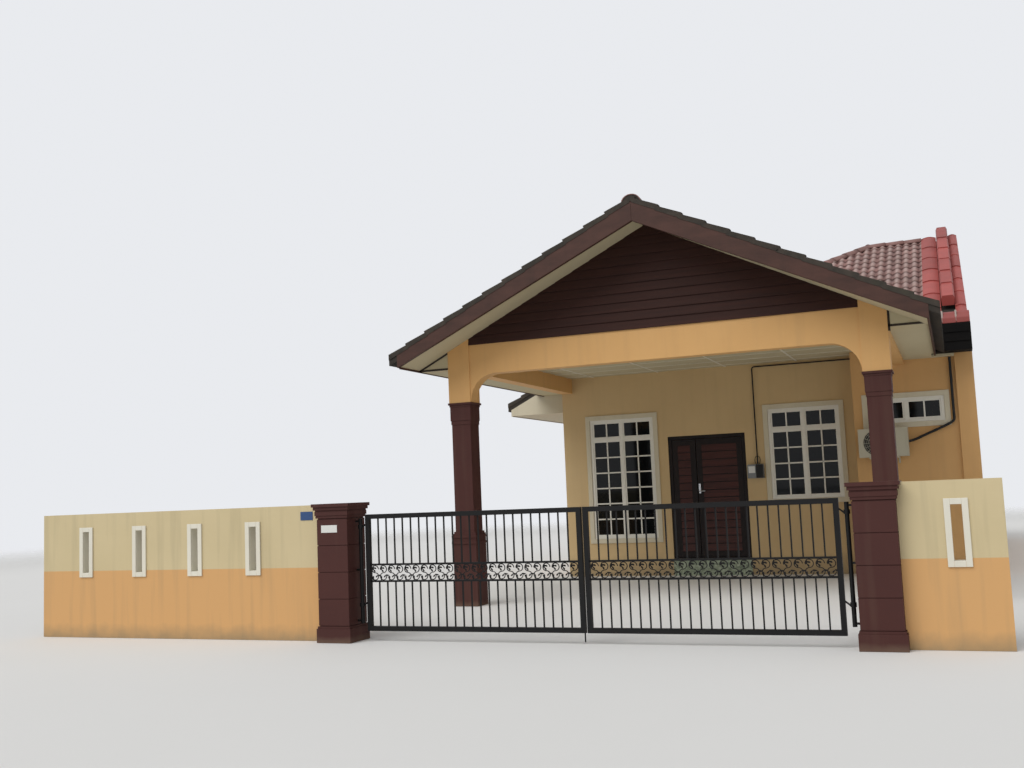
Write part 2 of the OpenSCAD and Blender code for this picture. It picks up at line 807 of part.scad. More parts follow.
module roof_left() {
    n = ceil((rear_y - front_y) / rib_p);
    color("rosybrown") place() slope(tip_l, rear_y, -90, n, [
        [tip_l, front_y], [xc, front_y], [xc, join_y], [main_x, main_y], [tip_l, rear_y],
        [tip_l, low_y1], [low_x, low_y1], [low_x, low_y0], [tip_l, low_y0]]);
}

module roof_porch_right() {
    n = ceil((join_y - front_y) / rib_p);
    color("rosybrown") place() slope(tip_r, front_y, 90, n, [
        [xc, front_y], [tip_r, front_y], [tip_r, box_f - seat], [box_l - seat, box_f - seat],
        [box_l - seat, box_b], [xc, join_y]]);
}

module roof_front() {
    n = floor((coping_x - tip_l) / rib_p);
    color("rosybrown") place() slope(tip_l, -main_over, 0, n, [
        [xc, join_y], [box_l - seat, box_b + seat], [body_w, box_b + seat], [body_w, main_y],
        [main_x, main_y]]);
}

module roof_rear() {
    n = ceil((coping_x - tip_l) / rib_p);
    color("rosybrown") place() slope(coping_x, rear_y, 180, n, [
        [main_x, main_y], [body_w, main_y], [body_w, rear_y], [tip_l, rear_y]]);
}

module ridge_porch() {
    color("rosybrown") place() difference() {
        intersection() {
            cap_run([xc, front_y, ridge_z], [xc, join_y, ridge_z], m, bed_ridge);
            span_y(front_y, join_y, tip_l, tip_r);
        }
        translate([0, 0, bed_ridge]) slope(tip_l, -main_over, 0, 0, [[xc - eps, join_y + eps],
            [box_l, box_b], [body_w, box_b], [body_w, main_y], [main_x, main_y]]);
    }
}

module ridge_main() {
    color("rosybrown") place() intersection() {
        cap_run([main_x, main_y, main_z], [body_w, main_y, main_z], m, bed_ridge);
        span_y(join_y, rear_y, main_x, coping_x - seat);
    }
}

module hip_front() {
    color("rosybrown") place() intersection() {
        cap_run([xc, join_y, ridge_z], [main_x, main_y, main_z], hip_fall, bed_hip);
        span_y(join_y + seat, main_y - seat, tip_l, main_x - seat);
    }
}

module hip_rear() {
    color("rosybrown") place() intersection() {
        cap_run([tip_l, rear_y, eave_z], [main_x, main_y, main_z], hip_fall, bed_hip);
        span_y(main_y + seat, rear_y, tip_l, main_x - seat);
    }
}

// Section of the flat red rows across the slope.
module flank_section() {
    polygon([[0, seat], [0, flank_t], [flank_w, 1.5 * flank_t], [flank_w + crest_w, 1.5 * flank_t],
        [body_w - coping_x, 1.2 * flank_t], [body_w - coping_x, seat]]);
}

// Section of the raised red row: upstand, slanted sides and a flat crown.
module crest_section() {
    b = flank_w + crest_w;
    in = 0.22 * crest_w;
    neck = flank_w + in;
    polygon([[neck, flank_t], [neck, 0.45 * crest_h], [flank_w, 0.5 * crest_h],
        [neck, crest_h], [b - in, crest_h], [b, 0.5 * crest_h], [b - in, 0.45 * crest_h],
        [b - in, flank_t]]);
}

// Bar of the given section running up the front slope (dir = 1) or the rear slope (dir = -1).
module on_slope(dir) {
    l = (main_y + main_over) / cos(pitch) + 2 * cap_r;
    translate([coping_x, dir > 0 ? -main_over : rear_y, eave_z]) rotate([dir * pitch, 0, 0])
        rotate([90, 0, 0]) translate([0, 0, dir > 0 ? -l : -cap_r]) linear_extrude(l + cap_r)
            children();
}

// Red painted tiles over the wall shared with the twin house, from the valley on.
module party_coping() {
    foot = box_b + max(0, box_l - coping_x) + 2 * seat;
    color("indianred") place() {
        intersection() {
            on_slope(1) flank_section();
            span_y(foot, main_y, coping_x, body_w);
        }
        intersection() {
            on_slope(1) crest_section();
            span_y(crest_y, main_y, coping_x, body_w);
        }
        intersection() {
            on_slope(-1) union() {
                flank_section();
                crest_section();
            }
            span_y(main_y - seat, rear_y, coping_x, body_w);
        }
    }
}

// Row of red tiles lying across the eave box.
module eave_box_caps() {
    d = box_b - box_f;
    side = 0.4 * box_cap_h;
    color("indianred") place() translate([box_l, box_f, box_z + box_h + seat]) rotate([90, 0, 90])
        linear_extrude(body_w - box_l)
            polygon([[0, 0], [0, side], [d / 4, box_cap_h], [3 * d / 4, box_cap_h], [d, side],
                [d, 0]]);
}

// Outdoor unit on two wall brackets.
module ac_unit() {
    y = -bay_out - ac_gap - ac_d;
    color("gainsboro") place() {
        translate([ac_x, y, ac_z]) cube([ac_w, ac_d, ac_h]);
        for (x = [ac_x + ac_w * 0.2, ac_x + ac_w * 0.8 - barge_t]) {
            translate([x, y, ac_z - barge_t]) cube([barge_t, -bay_out - seat - y, barge_t + eps]);
            translate([x, -bay_out - seat - barge_t, ac_z - ac_gap])
                cube([barge_t, barge_t, ac_gap]);
        }
    }
}

module meter_box() {
    color("gray") place() translate([meter_x, -meter_d - seat, meter_z])
        cube([meter_w, meter_d, meter_h]);
}

// Gate pillar as stacked courses: plinth, moulding, four blocks parted by grooves, neck and cap.
function pillar_courses(grow) =
    let (q = pillar_s, plinth = pillar_h * 0.1, foot = plinth + plinth_mould,
        block = (pillar_h - cap_h - foot) / 4)
    [for (c = concat(
        [[0, plinth, q + 0.9 * cap_out], [plinth, foot, q + 0.45 * cap_out]],
        [for (i = [0:3]) [foot + i * block, foot + i * block + groove, q - 2 * groove]],
        [for (i = [0:3]) [foot + i * block + groove, foot + (i + 1) * block, q]],
        [for (k = cap_steps) [pillar_h - cap_h * (1 - k[0]), pillar_h - cap_h * (1 - k[1]),
            q + k[2] * cap_out]]))
        [c[0] - grow, c[1] + grow, c[2] + 2 * grow]];

module pillar_at(x, grow = 0) {
    courses(x + pillar_s / 2, -gate_d + pillar_s / 2, pillar_courses(grow));
}

module gate_pillar_left() {
    color("brown") place() pillar_at(pillar_x0);
}

module gate_pillar_right() {
    color("brown") place() pillar_at(pillar_x1);
}

// Boundary wall with slots, each slot in a raised band.
module fence(x0, x1, slots) {
    band = slot_w / 2;
    difference() {
        union() {
            translate([x0, fence_y, 0]) cube([x1 - x0, fence_t, fence_h]);
            for (x = slots)
                translate([x - slot_w / 2 - band, fence_y - slot_lip, slot_z - band])
                    cube([slot_w + 2 * band, fence_t + 2 * slot_lip, slot_h + 2 * band]);
        }
        for (x = slots) translate([x - slot_w / 2, fence_y - 2 * slot_lip, slot_z])
            cube([slot_w, fence_t + 4 * slot_lip, slot_h]);
    }
}

module boundary_wall_left() {
    color("khaki") place() difference() {
        fence(fence_x0, pillar_x0 - seat, [for (i = [0:slot_n - 1]) slot_x0 - i * slot_p]);
        pillar_at(pillar_x0, seat);
    }
}

module boundary_wall_right() {
    color("khaki") place() difference() {
        fence(pillar_x1 + pillar_s + seat, body_w,
            [(pillar_x1 + pillar_s + body_w) / 2 + slot_w / 2]);
        pillar_at(pillar_x1, seat);
    }
}

// Round hinge post held off its pillar by three brackets.
module hinge_post(x, pillar_face) {
    top = pillar_h - post_drop;
    w = abs(x - pillar_face) - seat;
    translate([x, gate_y, post_z]) cylinder(r = post_r, h = top - post_z);
    for (z = [post_z + rail, (post_z + top) / 2, top - 2 * rail])
        translate([min(x, pillar_face) + (x < pillar_face ? 0 : seat), gate_y - rail / 2, z])
            cube([w, rail, rail]);
}

module hinge_post_left() {
    color("black") place() hinge_post(post_x0, pillar_x0 + pillar_s);
}

module hinge_post_right() {
    color("black") place() hinge_post(post_x1, pillar_x1);
}

// One S of the scroll band: two open rings that meet in the middle.
module scroll_s(r) {
    c = r - scroll_t / 2;
    difference() {
        translate([0, c]) circle(r = r, $fn = 32);
        translate([0, c]) circle(r = r - scroll_t, $fn = 32);
        translate([0, 0]) square([r + eps, c]);
    }
    difference() {
        translate([0, -c]) circle(r = r, $fn = 32);
        translate([0, -c]) circle(r = r - scroll_t, $fn = 32);
        translate([-r - eps, -c]) square([r + eps, c]);
    }
}

// Arm from the leaf down to its eye round the hinge post.
module hinge_arm(z) {
    eye = post_r + scroll_t;
    translate([0, gate_y, z]) difference() {
        union() {
            cylinder(r = eye, h = 2 * rail);
            translate([0, scroll_t / 2, 0]) rotate([90, 0, 0]) linear_extrude(scroll_t)
                polygon([[post_r, 0], [post_r, rail], [hinge_gap + eps, 3 * rail],
                    [hinge_gap + eps, 2 * rail]]);
        }
        translate([0, 0, -eps]) cylinder(r = post_r + eye_gap, h = 3 * rail);
    }
}

// Gate leaf hung at x = 0: tube frame, two middle rails with scrolls between them, upright bars
// above and below, and two slanted arms with eyes.
module gate_leaf(w) {
    step = (w - 2 * tube) / (bars_n + 1);
    band = rail_z2 - rail_z1 - rail;
    r = (band + scroll_t) / 4;
    translate([hinge_gap, gate_y + tube / 2, gate_z]) rotate([90, 0, 0]) linear_extrude(tube)
        difference() {
            square([w, gate_h]);
            translate([tube, tube]) square([w - 2 * tube, gate_h - 2 * tube]);
        }
    translate([hinge_gap, gate_y + rail / 2, gate_z]) rotate([90, 0, 0]) linear_extrude(rail)
        for (z = [rail_z1, rail_z2]) translate([tube - eps, z]) square([w - 2 * tube + 2 * eps, rail]);
    translate([hinge_gap, gate_y + bar / 2, gate_z]) rotate([90, 0, 0]) linear_extrude(bar)
        for (i = [1:bars_n]) {
            translate([tube + i * step - bar / 2, tube - eps]) square([bar, rail_z1 - tube + 2 * eps]);
            translate([tube + i * step - bar / 2, rail_z2 + rail - eps])
                square([bar, gate_h - tube - rail_z2 - rail + 2 * eps]);
        }
    translate([hinge_gap, gate_y + scroll_t / 2, gate_z]) rotate([90, 0, 0])
        linear_extrude(scroll_t) for (i = [0:bars_n])
            translate([tube + (i + 0.5) * step, rail_z1 + rail + band / 2])
                mirror([i % 2, 0]) scroll_s(r + 0.2);
    for (z = [gate_z + arm_z, arm_top]) hinge_arm(z);
}

leaf_len = gate_mid - gate_x0 - gate_meet / 2;

// Left leaf with the drop bolt on its meeting stile.
module gate_leaf_left() {
    color("black") place() translate([post_x0, 0, 0]) {
        gate_leaf(leaf_len);
        translate([hinge_gap + leaf_len - tube / 2, gate_y + tube / 2 + bar / 2, bar])
            cylinder(r = bar / 2 + seat, h = rail_z1);
    }
}

module gate_leaf_right() {
    color("black") place() translate([post_x1, 0, 0]) mirror([1, 0, 0]) gate_leaf(leaf_len);
}

floor_slab();
door_step();
front_wall_left();
front_wall_right();
front_wall_over_door();
bay_wall();
side_wall();
rear_wall();
party_wall();
window_front_left();
window_front_right();
window_bay();
window_bedroom();
window_kitchen();
window_rear();
door_frame();
door_leaf_left();
door_leaf_right();
side_door();
porch_column_left();
porch_column_right();
porch_beam_front();
porch_beam_left();
porch_beam_right();
porch_ceiling();
gable_boarding();
barge_left();
barge_right();
rake_soffit();
eave_left_porch();
eave_left_low();
eave_left_rear();
eave_rear();
eave_right();
party_eave_box();
roof_left();
roof_porch_right();
roof_front();
roof_rear();
ridge_porch();
ridge_main();
hip_front();
hip_rear();
party_coping();
eave_box_caps();
ac_unit();
meter_box();
gate_pillar_left();
gate_pillar_right();
boundary_wall_left();
boundary_wall_right();
hinge_post_left();
hinge_post_right();
gate_leaf_left();
gate_leaf_right();
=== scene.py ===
"""Looks of the bungalow: tiles, boards, panes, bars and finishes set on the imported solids."""

import json
import logging
import math
from dataclasses import dataclass
from enum import Enum
from typing import Iterable, Optional, Sequence

import bmesh
import bpy
from mathutils import Matrix, Vector

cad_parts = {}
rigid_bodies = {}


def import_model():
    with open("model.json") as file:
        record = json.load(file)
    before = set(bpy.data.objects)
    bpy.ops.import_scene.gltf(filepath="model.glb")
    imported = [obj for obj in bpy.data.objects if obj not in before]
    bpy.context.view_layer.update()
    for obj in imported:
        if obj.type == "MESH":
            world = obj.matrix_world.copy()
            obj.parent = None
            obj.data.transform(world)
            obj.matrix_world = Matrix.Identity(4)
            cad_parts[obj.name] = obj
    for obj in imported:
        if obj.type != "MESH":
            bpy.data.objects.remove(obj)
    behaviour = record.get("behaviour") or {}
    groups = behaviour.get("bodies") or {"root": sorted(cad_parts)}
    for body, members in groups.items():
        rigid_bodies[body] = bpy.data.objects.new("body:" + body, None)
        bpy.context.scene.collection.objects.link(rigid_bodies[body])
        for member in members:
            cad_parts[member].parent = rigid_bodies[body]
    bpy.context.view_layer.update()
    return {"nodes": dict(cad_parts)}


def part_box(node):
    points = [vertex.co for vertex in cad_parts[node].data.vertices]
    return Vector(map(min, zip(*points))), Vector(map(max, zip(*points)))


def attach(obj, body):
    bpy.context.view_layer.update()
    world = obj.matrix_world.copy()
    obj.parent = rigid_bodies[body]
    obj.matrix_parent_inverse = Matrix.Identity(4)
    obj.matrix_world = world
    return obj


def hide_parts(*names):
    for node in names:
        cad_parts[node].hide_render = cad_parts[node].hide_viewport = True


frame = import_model()
log = logging.getLogger("bungalow")

HOUSE = "house"
Point = tuple[float, float, float]
Flat = tuple[float, float]
Plane = tuple[Sequence[float], Sequence[float]]
Tree = bpy.types.NodeTree
Socket = bpy.types.NodeSocket

# A bar runs along its local Z. These turn it along +X, towards the street and to the rear.
ALONG_X = Matrix(((0, 0, 1), (1, 0, 0), (0, 1, 0))).to_4x4()
TO_STREET = Matrix(((1, 0, 0), (0, 0, -1), (0, 1, 0))).to_4x4()
TO_REAR = Matrix(((1, 0, 0), (0, 0, 1), (0, 1, 0))).to_4x4()
# A unit that is laid down on the grid, so that TO_STREET stands its rows up again.
LAID = TO_STREET.inverted() @ ALONG_X

# Gaps that keep two faces out of one plane, in metres, and the angle in radians at which an
# edge of a smooth shell stays sharp.
HAIR = 0.0005
SEAM = 0.001
CREASE = 0.7


class Slope(Enum):
    """Ways a roof slope can rise, as directions in plan."""

    LEFT = (1, 0)
    RIGHT = (-1, 0)
    FRONT = (0, 1)
    REAR = (0, -1)


@dataclass(frozen=True)
class Site:
    """Main lines of the house, in metres from its front left corner at ground level."""

    pitch: float = math.radians(26.2)
    half_w: float = 3.579
    ridge_x: float = 2.970
    ridge_z: float = 5.2051
    main_z: float = 6.3152
    main_over: float = 1.000
    front_y: float = -5.422
    low_x: float = -1.200
    low_y: Flat = (0.300, 4.300)
    coping_x: float = 6.270
    box_left: float = 6.359

    @property
    def corner(self) -> Vector:
        """Front left corner of the walls, in the shared frame."""
        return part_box("front_wall_left")[0]

    @property
    def tip_left(self) -> float:
        """X of the tile tips on the left."""
        return self.ridge_x - self.half_w

    @property
    def tip_right(self) -> float:
        """X of the tile tips on the right of the porch."""
        return self.ridge_x + self.half_w

    @property
    def rise(self) -> float:
        """Rise of a slope per metre in plan."""
        return math.tan(self.pitch)

    @property
    def eave_z(self) -> float:
        """Height of the slab face at the tips."""
        return self.ridge_z - self.rise * self.half_w

    @property
    def run(self) -> float:
        """Plan length of a slope of the main roof."""
        return (self.main_z - self.eave_z) / self.rise

    @property
    def main_x(self) -> float:
        """X of the left end of the main ridge."""
        return self.tip_left + self.run

    @property
    def main_y(self) -> float:
        """Y of the main ridge."""
        return self.run - self.main_over

    @property
    def rear_y(self) -> float:
        """Y of the rear tile tips."""
        return self.main_y + self.run

    @property
    def join_y(self) -> float:
        """Y where the porch ridge meets the main roof."""
        return self.main_y - (self.main_z - self.ridge_z) / self.rise

    def valley(self, x: float) -> float:
        """Y of the valley between porch roof and main roof at a given X."""
        return self.tip_right - x - self.main_over

    def at(self, x: float, y: float, z: float) -> Vector:
        """Turns house measures into the shared frame."""
        return self.corner + Vector((x, y, z))

    def box(self, node: str) -> tuple[Vector, Vector]:
        """Lowest and highest corner of a solid, in house measures."""
        low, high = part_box(node)
        return low - self.corner, high - self.corner


SITE = Site()


def linear(code: str) -> tuple[float, float, float, float]:
    """Turns an sRGB hex colour into linear light.

    Args:
        code: colour such as "#D9A066".

    Returns:
        Red, green, blue and alpha.
    """
    parts = [int(code[i:i + 2], 16) / 255 for i in (1, 3, 5)]
    lin = [c / 12.92 if c <= 0.04045 else ((c + 0.055) / 1.055) ** 2.4 for c in parts]
    return (lin[0], lin[1], lin[2], 1.0)


def add(tree: Tree, kind: str, inputs: Optional[dict] = None, **props: object) -> bpy.types.Node:
    """Adds a node, sets it and links it.

    Args:
        tree: the node tree.
        kind: the node's type name.
        inputs: by socket name or index, a value, a socket, or a node whose first output counts.
        **props: settings of the node itself.

    Returns:
        The new node.
    """
    made = tree.nodes.new(kind)
    for key, value in props.items():
        setattr(made, key, value)
    for key, value in (inputs or {}).items():
        source = value.outputs[0] if isinstance(value, bpy.types.Node) else value
        if isinstance(source, Socket):
            tree.links.new(source, made.inputs[key])
        else:
            made.inputs[key].default_value = source
    return made


def noise(tree: Tree, where: object, scale: float, detail: float, rough: float = 0.5) -> Socket:
    """Gives cloudy noise of a given scale at a place."""
    return add(tree, "ShaderNodeTexNoise", {"Vector": where, "Scale": scale, "Detail": detail,
                                            "Roughness": rough}).outputs["Fac"]


def span(tree: Tree, value: object, start: float, end: float, low: float = 0.0,
         high: float = 1.0, **props: object) -> bpy.types.Node:
    """Maps a value from start and end to low and high, and clamps it there."""
    return add(tree, "ShaderNodeMapRange", {0: value, "From Min": start, "From Max": end,
                                            "To Min": low, "To Max": high}, **props)


def calc(tree: Tree, operation: str, first: object, second: object) -> bpy.types.Node:
    """Works out two values or sockets."""
    return add(tree, "ShaderNodeMath", {0: first, 1: second}, operation=operation)


def blend(tree: Tree, much: object, under: object, over: object) -> Socket:
    """Lays one colour over another."""
    return add(tree, "ShaderNodeMix", {0: much, 6: under, 7: over}, data_type="RGBA").outputs[2]


@dataclass(frozen=True)
class Finish:
    """A painted or bare surface with mottling, grain, rain streaks and splashed dirt, in metres."""

    label: str
    colour: str
    worn: str
    mottle: float = 0.9
    mix: float = 0.35
    grain: float = 0.004
    bump: float = 0.0006
    rough: float = 0.7
    metallic: float = 0.0
    streak: float = 0.0
    splash: float = 0.0
    dirt: str = "#6B5F4B"
    stretch: Point = (1.0, 1.0, 1.0)
    shine: float = 0.5
    rain: Point = (9.0, 9.0, 0.55)
    spread: float = 0.12

    def coat(self, tree: Tree, where: Socket) -> Socket:
        """Gives the clean colour before dirt; other finishes draw their own pattern here.

        Args:
            tree: the material's tree.
            where: object coordinates in metres.

        Returns:
            The colour socket.
        """
        place = add(tree, "ShaderNodeMapping", {"Scale": self.stretch, "Vector": where})
        cloud = noise(tree, place, 1 / self.mottle, 5.0, 0.6)
        return blend(tree, span(tree, cloud, 0.35, 0.72, high=self.mix), linear(self.colour),
                     linear(self.worn))

    def soil(self, tree: Tree, where: Socket, colour: Socket) -> Socket:
        """Lays rain streaks and splashed soil over a colour.

        Args:
            tree: the material's tree.
            where: object coordinates in metres.
            colour: the clean colour.

        Returns:
            The soiled colour socket.
        """
        if self.streak > 0:
            long = add(tree, "ShaderNodeMapping", {"Scale": self.rain, "Vector": where})
            much = span(tree, noise(tree, long, 1.0, 3.0), 0.5, 0.85, high=self.streak)
            colour = blend(tree, much, colour, linear(self.dirt))
        if self.splash > 0:
            height = add(tree, "ShaderNodeSeparateXYZ", {0: where}).outputs[2]
            edge = calc(tree, "MULTIPLY", noise(tree, where, 7.0, 4.0), -self.splash)
            near = span(tree, calc(tree, "ADD", height, edge), self.splash * 0.6,
                        -self.splash * 0.5, high=0.6)
            colour = blend(tree, near, colour, linear(self.dirt))
        return colour

    def shader(self, tree: Tree, where: Socket) -> Socket:
        """Gives the surface; glass and the studio floor have their own.

        Args:
            tree: the material's tree.
            where: object coordinates in metres.

        Returns:
            The shader socket.
        """
        grit = noise(tree, where, 1 / self.grain, 2.0)
        return add(tree, "ShaderNodeBsdfPrincipled", {
            "Base Color": self.soil(tree, where, self.coat(tree, where)),
            "Metallic": self.metallic, "Specular IOR Level": self.shine,
            "Roughness": span(tree, grit, 0.0, 1.0, max(self.rough - self.spread, 0.03),
                              min(self.rough + self.spread, 1.0)),
            "Normal": add(tree, "ShaderNodeBump", {"Strength": 0.6, "Distance": self.bump,
                                                   "Height": grit})}).outputs[0]

    def build(self) -> bpy.types.Material:
        """Makes the material once and returns it.

        Returns:
            The material.
        """
        known = bpy.data.materials.get(self.label)
        if known:
            return known
        mat = bpy.data.materials.new(self.label)
        mat.use_nodes = True
        tree = mat.node_tree
        tree.nodes.clear()
        where = add(tree, "ShaderNodeTexCoord").outputs["Object"]
        add(tree, "ShaderNodeOutputMaterial", {0: self.shader(tree, where)})
        return mat


@dataclass(frozen=True)
class BandedFinish(Finish):
    """Two coats of paint that change at one height."""

    lower: str = "#D9A066"
    change: float = 0.80

    def coat(self, tree: Tree, where: Socket) -> Socket:
        """Upper colour above the change of height, lower colour below it.

        Args:
            tree: the material's tree.
            where: object coordinates in metres.

        Returns:
            The colour socket.
        """
        height = add(tree, "ShaderNodeSeparateXYZ", {0: where}).outputs[2]
        above = calc(tree, "GREATER_THAN", height, self.change)
        return blend(tree, above, linear(self.lower), super().coat(tree, where))


@dataclass(frozen=True)
class EaveFinish(Finish):
    """Painted fascia board, with the sheet on its underside in a paler coat."""

    under: str = "#C9BFA6"

    def coat(self, tree: Tree, where: Socket) -> Socket:
        """Pale where the surface faces down or to the street, board colour elsewhere.

        Args:
            tree: the material's tree.
            where: object coordinates in metres.

        Returns:
            The colour socket.
        """
        normal = add(tree, "ShaderNodeTexCoord").outputs["Normal"]
        facing = add(tree, "ShaderNodeSeparateXYZ", {0: normal}).outputs
        least = calc(tree, "MINIMUM", facing[1], facing[2])
        return blend(tree, calc(tree, "LESS_THAN", least, -0.5), super().coat(tree, where),
                     linear(self.under))


@dataclass(frozen=True)
class TileFinish(Finish):
    """Pressed concrete roof tile: each tile a shade of its own, moss in patches."""

    moss: str = "#3E3B2C"
    moss_mix: float = 0.35
    # Colour of the painted highlight laid on the crowns of the rolls.
    crown: str = "#BFA8A0"

    def coat(self, tree: Tree, where: Socket) -> Socket:
        """Mottled tile colour in the tile's own shade, with a painted highlight on the crowns of
        the rolls, and moss over it.

        Args:
            tree: the material's tree.
            where: object coordinates in metres.

        Returns:
            The colour socket.
        """
        shade, roll = (add(tree, "ShaderNodeAttribute", attribute_name=name).outputs["Fac"]
                       for name in ("shade", "crown"))
        own = add(tree, "ShaderNodeHueSaturation", {
            "Value": span(tree, shade, 0.0, 1.0, 0.78, 1.18), "Color": super().coat(tree, where)})
        # Painted highlight: the crowns of the rolls are lightened towards the highlight colour.
        pale = blend(tree, span(tree, roll, 0.3, 1.0, high=0.6), own, linear(self.crown))
        much = span(tree, noise(tree, where, 1.6, 6.0, 0.7), 0.52, 0.75, high=self.moss_mix)
        return blend(tree, much, pale, linear(self.moss))


@dataclass(frozen=True)
class FadingFinish(Finish):
    """Studio floor that thins out far from the house, so that no horizon shows."""

    near: float = 16.0
    far: float = 40.0

    def shader(self, tree: Tree, where: Socket) -> Socket:
        """Surface near the house, clear beyond the far distance.

        Args:
            tree: the material's tree.
            where: object coordinates in metres.

        Returns:
            The shader socket.
        """
        away = add(tree, "ShaderNodeVectorMath", {0: where}, operation="LENGTH").outputs["Value"]
        thin = span(tree, away, self.near, self.far, interpolation_type="SMOOTHSTEP")
        clear = add(tree, "ShaderNodeBsdfTransparent")
        return add(tree, "ShaderNodeMixShader",
                   {0: thin, 1: super().shader(tree, where), 2: clear}).outputs[0]


@dataclass(frozen=True)
class GlassFinish(Finish):
    """Float glass before a dark room: near black, smooth, slightly uneven."""

    def shader(self, tree: Tree, where: Socket) -> Socket:
        """Even roughness, with a slow wave in the surface.

        Args:
            tree: the material's tree.
            where: object coordinates in metres.

        Returns:
            The shader socket.
        """
        wave = noise(tree, where, 2.2, 1.0)
        bump = add(tree, "ShaderNodeBump", {"Strength": 0.25, "Distance": 0.003, "Height": wave})
        return add(tree, "ShaderNodeBsdfPrincipled", {
            "Base Color": self.coat(tree, where), "Roughness": self.rough,
            "Specular IOR Level": self.shine, "Normal": bump}).outputs[0]


# Emulsion on cement plaster: matt, faintly clouded, dusty and streaked towards the ground.
CREAM = Finish("emulsion_cream_plaster", "#CBAF80", "#BA9D70", streak=0.10, splash=0.35)
ORANGE = Finish("emulsion_orange_plaster", "#CFA269", "#BF9157", streak=0.10, splash=0.35)
BEAM = Finish("emulsion_beam_plaster", "#D6A76A", "#C6965A", streak=0.12)
MAROON = Finish("emulsion_maroon_plaster", "#46241F", "#371C19", rough=0.68, streak=0.18,
                splash=0.07, dirt="#6E5A4A", shine=0.3)
FENCE = BandedFinish("emulsion_two_coat_wall", "#CBBA92", "#B9A87F", streak=0.30, splash=0.16,
                     dirt="#77705A", lower="#CE9F67")
BAND = Finish("emulsion_window_band", "#CFC6AE", "#BFB499", mottle=0.4, streak=0.15)
# Gloss paint on moulded plaster: off-white, with a soft highlight on its edges.
TRIM = Finish("gloss_white_trim", "#DEDACB", "#CFC8B4", rough=0.45, streak=0.12)
# Pressed concrete tile: coarse, dull, stained by moss on the weather side, with a painted highlight
# on the crowns of its rolls.
TILE = TileFinish("concrete_roof_tile", "#8A665F", "#6B4D48", mottle=0.25, mix=0.7,
                  bump=0.0012, rough=0.7)
VERGE = TileFinish("mossy_roof_edge", "#3D352D", "#25221C", mottle=0.12, mix=0.9, rough=0.9,
                   moss_mix=0.7)
# Roof paint on concrete tile: a faded red, blotched where the coat is thin.
RED_TILE = TileFinish("red_painted_roof_tile", "#A04A43", "#8A3E39", mottle=0.3, mix=0.6,
                      rough=0.6, moss="#5A3A33", moss_mix=0.3)
# Lime mortar: a pale, rough line between the red tiles.
MORTAR = Finish("pale_mortar_bead", "#BCAFA6", "#9C8C84", mottle=0.05, rough=0.9)
# Oil paint on sawn boards: dark and nearly matt, with long soft streaks along the grain.
GABLE = Finish("oil_paint_gable_board", "#3A221C", "#2C1B17", mottle=0.3, mix=0.8, rough=0.7,
               stretch=(0.35, 1.0, 7.0), grain=0.006, bump=0.0008, shine=0.2)
BARGE = Finish("oil_paint_barge_board", "#4E342C", "#3A2721", mottle=0.4, mix=0.8, rough=0.6,
               stretch=(1.0, 1.0, 3.0), streak=0.25, dirt="#2E2620", shine=0.25)
EAVE = EaveFinish("oil_paint_fascia_and_sheet", "#4B332B", "#392822", mottle=0.5, mix=0.7,
                  streak=0.2, dirt="#2E2620")
BLACK_BOX = Finish("black_oil_paint_board", "#0E0C0B", "#070606", mottle=0.2, mix=0.8,
                   rough=0.8, stretch=(1.0, 1.0, 5.0), shine=0.12)
# Stained timber bead: a thin dull dark line at the corners of the eaves.
EAVE_BEAD = Finish("bare_batten_timber", "#3A3029", "#2A231E", mottle=0.3, mix=0.8, rough=0.9)
# Distemper on cement sheet: flat and chalky, the palest of the eaves.
SHEET = Finish("distemper_ceiling_sheet", "#C0B595", "#AFA384", mottle=1.2, rough=0.85)
# Enamel on steel: black with a low sheen along the thin bars.
STEEL = Finish("black_enamel_steel", "#0A0A0B", "#151413", mottle=0.15, mix=0.5, rough=0.55,
               grain=0.003, bump=0.0003, shine=0.25)
# Varnished hardwood: reddish brown, streaked along each slat, near black on the stiles.
HARDWOOD = Finish("varnished_hardwood", "#47231E", "#2C1613", mottle=0.25, mix=0.9, rough=0.55,
                  stretch=(0.5, 1.0, 9.0), shine=0.3)
DOOR_EDGE = Finish("varnished_hardwood_dark", "#1B1211", "#120C0B", mottle=0.3, mix=0.8,
                   rough=0.6, stretch=(4.0, 1.0, 0.6), shine=0.25)
SIDE_DOOR = Finish("oil_paint_flush_door", "#8D8F8C", "#7A7C79", rough=0.5)
# Powder-coated aluminium and float glass: crisp white bars before near black panes.
FRAME_WHITE = Finish("powder_coated_aluminium", "#E4E1D6", "#D4CFC0", rough=0.35)
PANE = GlassFinish("float_glass_dark_room", "#0B0D0E", "#161A1B", mottle=0.6, mix=0.5,
                   rough=0.06, shine=0.22)
# Glazed and ceramic tile: a green marbled riser and a plain pale floor, both a little glossy.
RISER = Finish("glazed_riser_tile", "#A9B39B", "#4B5943", mottle=0.05, mix=1.0, rough=0.25)
FLOOR = Finish("ceramic_floor_tile", "#B9B3A5", "#A69F90", rough=0.3)
# Moulded plastic and painted sheet: smooth casings that yellow under the rain.
CASING = Finish("moulded_beige_casing", "#B9B39E", "#A59E88", rough=0.5, streak=0.2)
GREY_CASING = Finish("moulded_grey_casing", "#7C7F7F", "#686B6B", rough=0.4)
# Satin chrome: the one bright metal, on the door's handle.
CHROME = Finish("satin_chrome_plate", "#C7C8CA", "#AFB0B2", rough=0.28, metallic=1.0)
# Foam and rubber: dull black that takes no highlight.
RUBBER = Finish("black_foam_lagging", "#151515", "#1F1F1F", rough=0.8)
# Vitreous enamel: smooth blank plates.
PLATE_WHITE = Finish("enamel_plate_white", "#D9D9D4", "#C9C8C0", rough=0.3)
PLATE_BLUE = Finish("enamel_plate_blue", "#2C4A78", "#243D63", rough=0.3)
# Matt studio board: keeps the shadow of the house and nothing else.
PALE_FLOOR = FadingFinish("pale_studio_floor", "#DDDCD9", "#D8D7D3", mottle=6.0, rough=0.9)


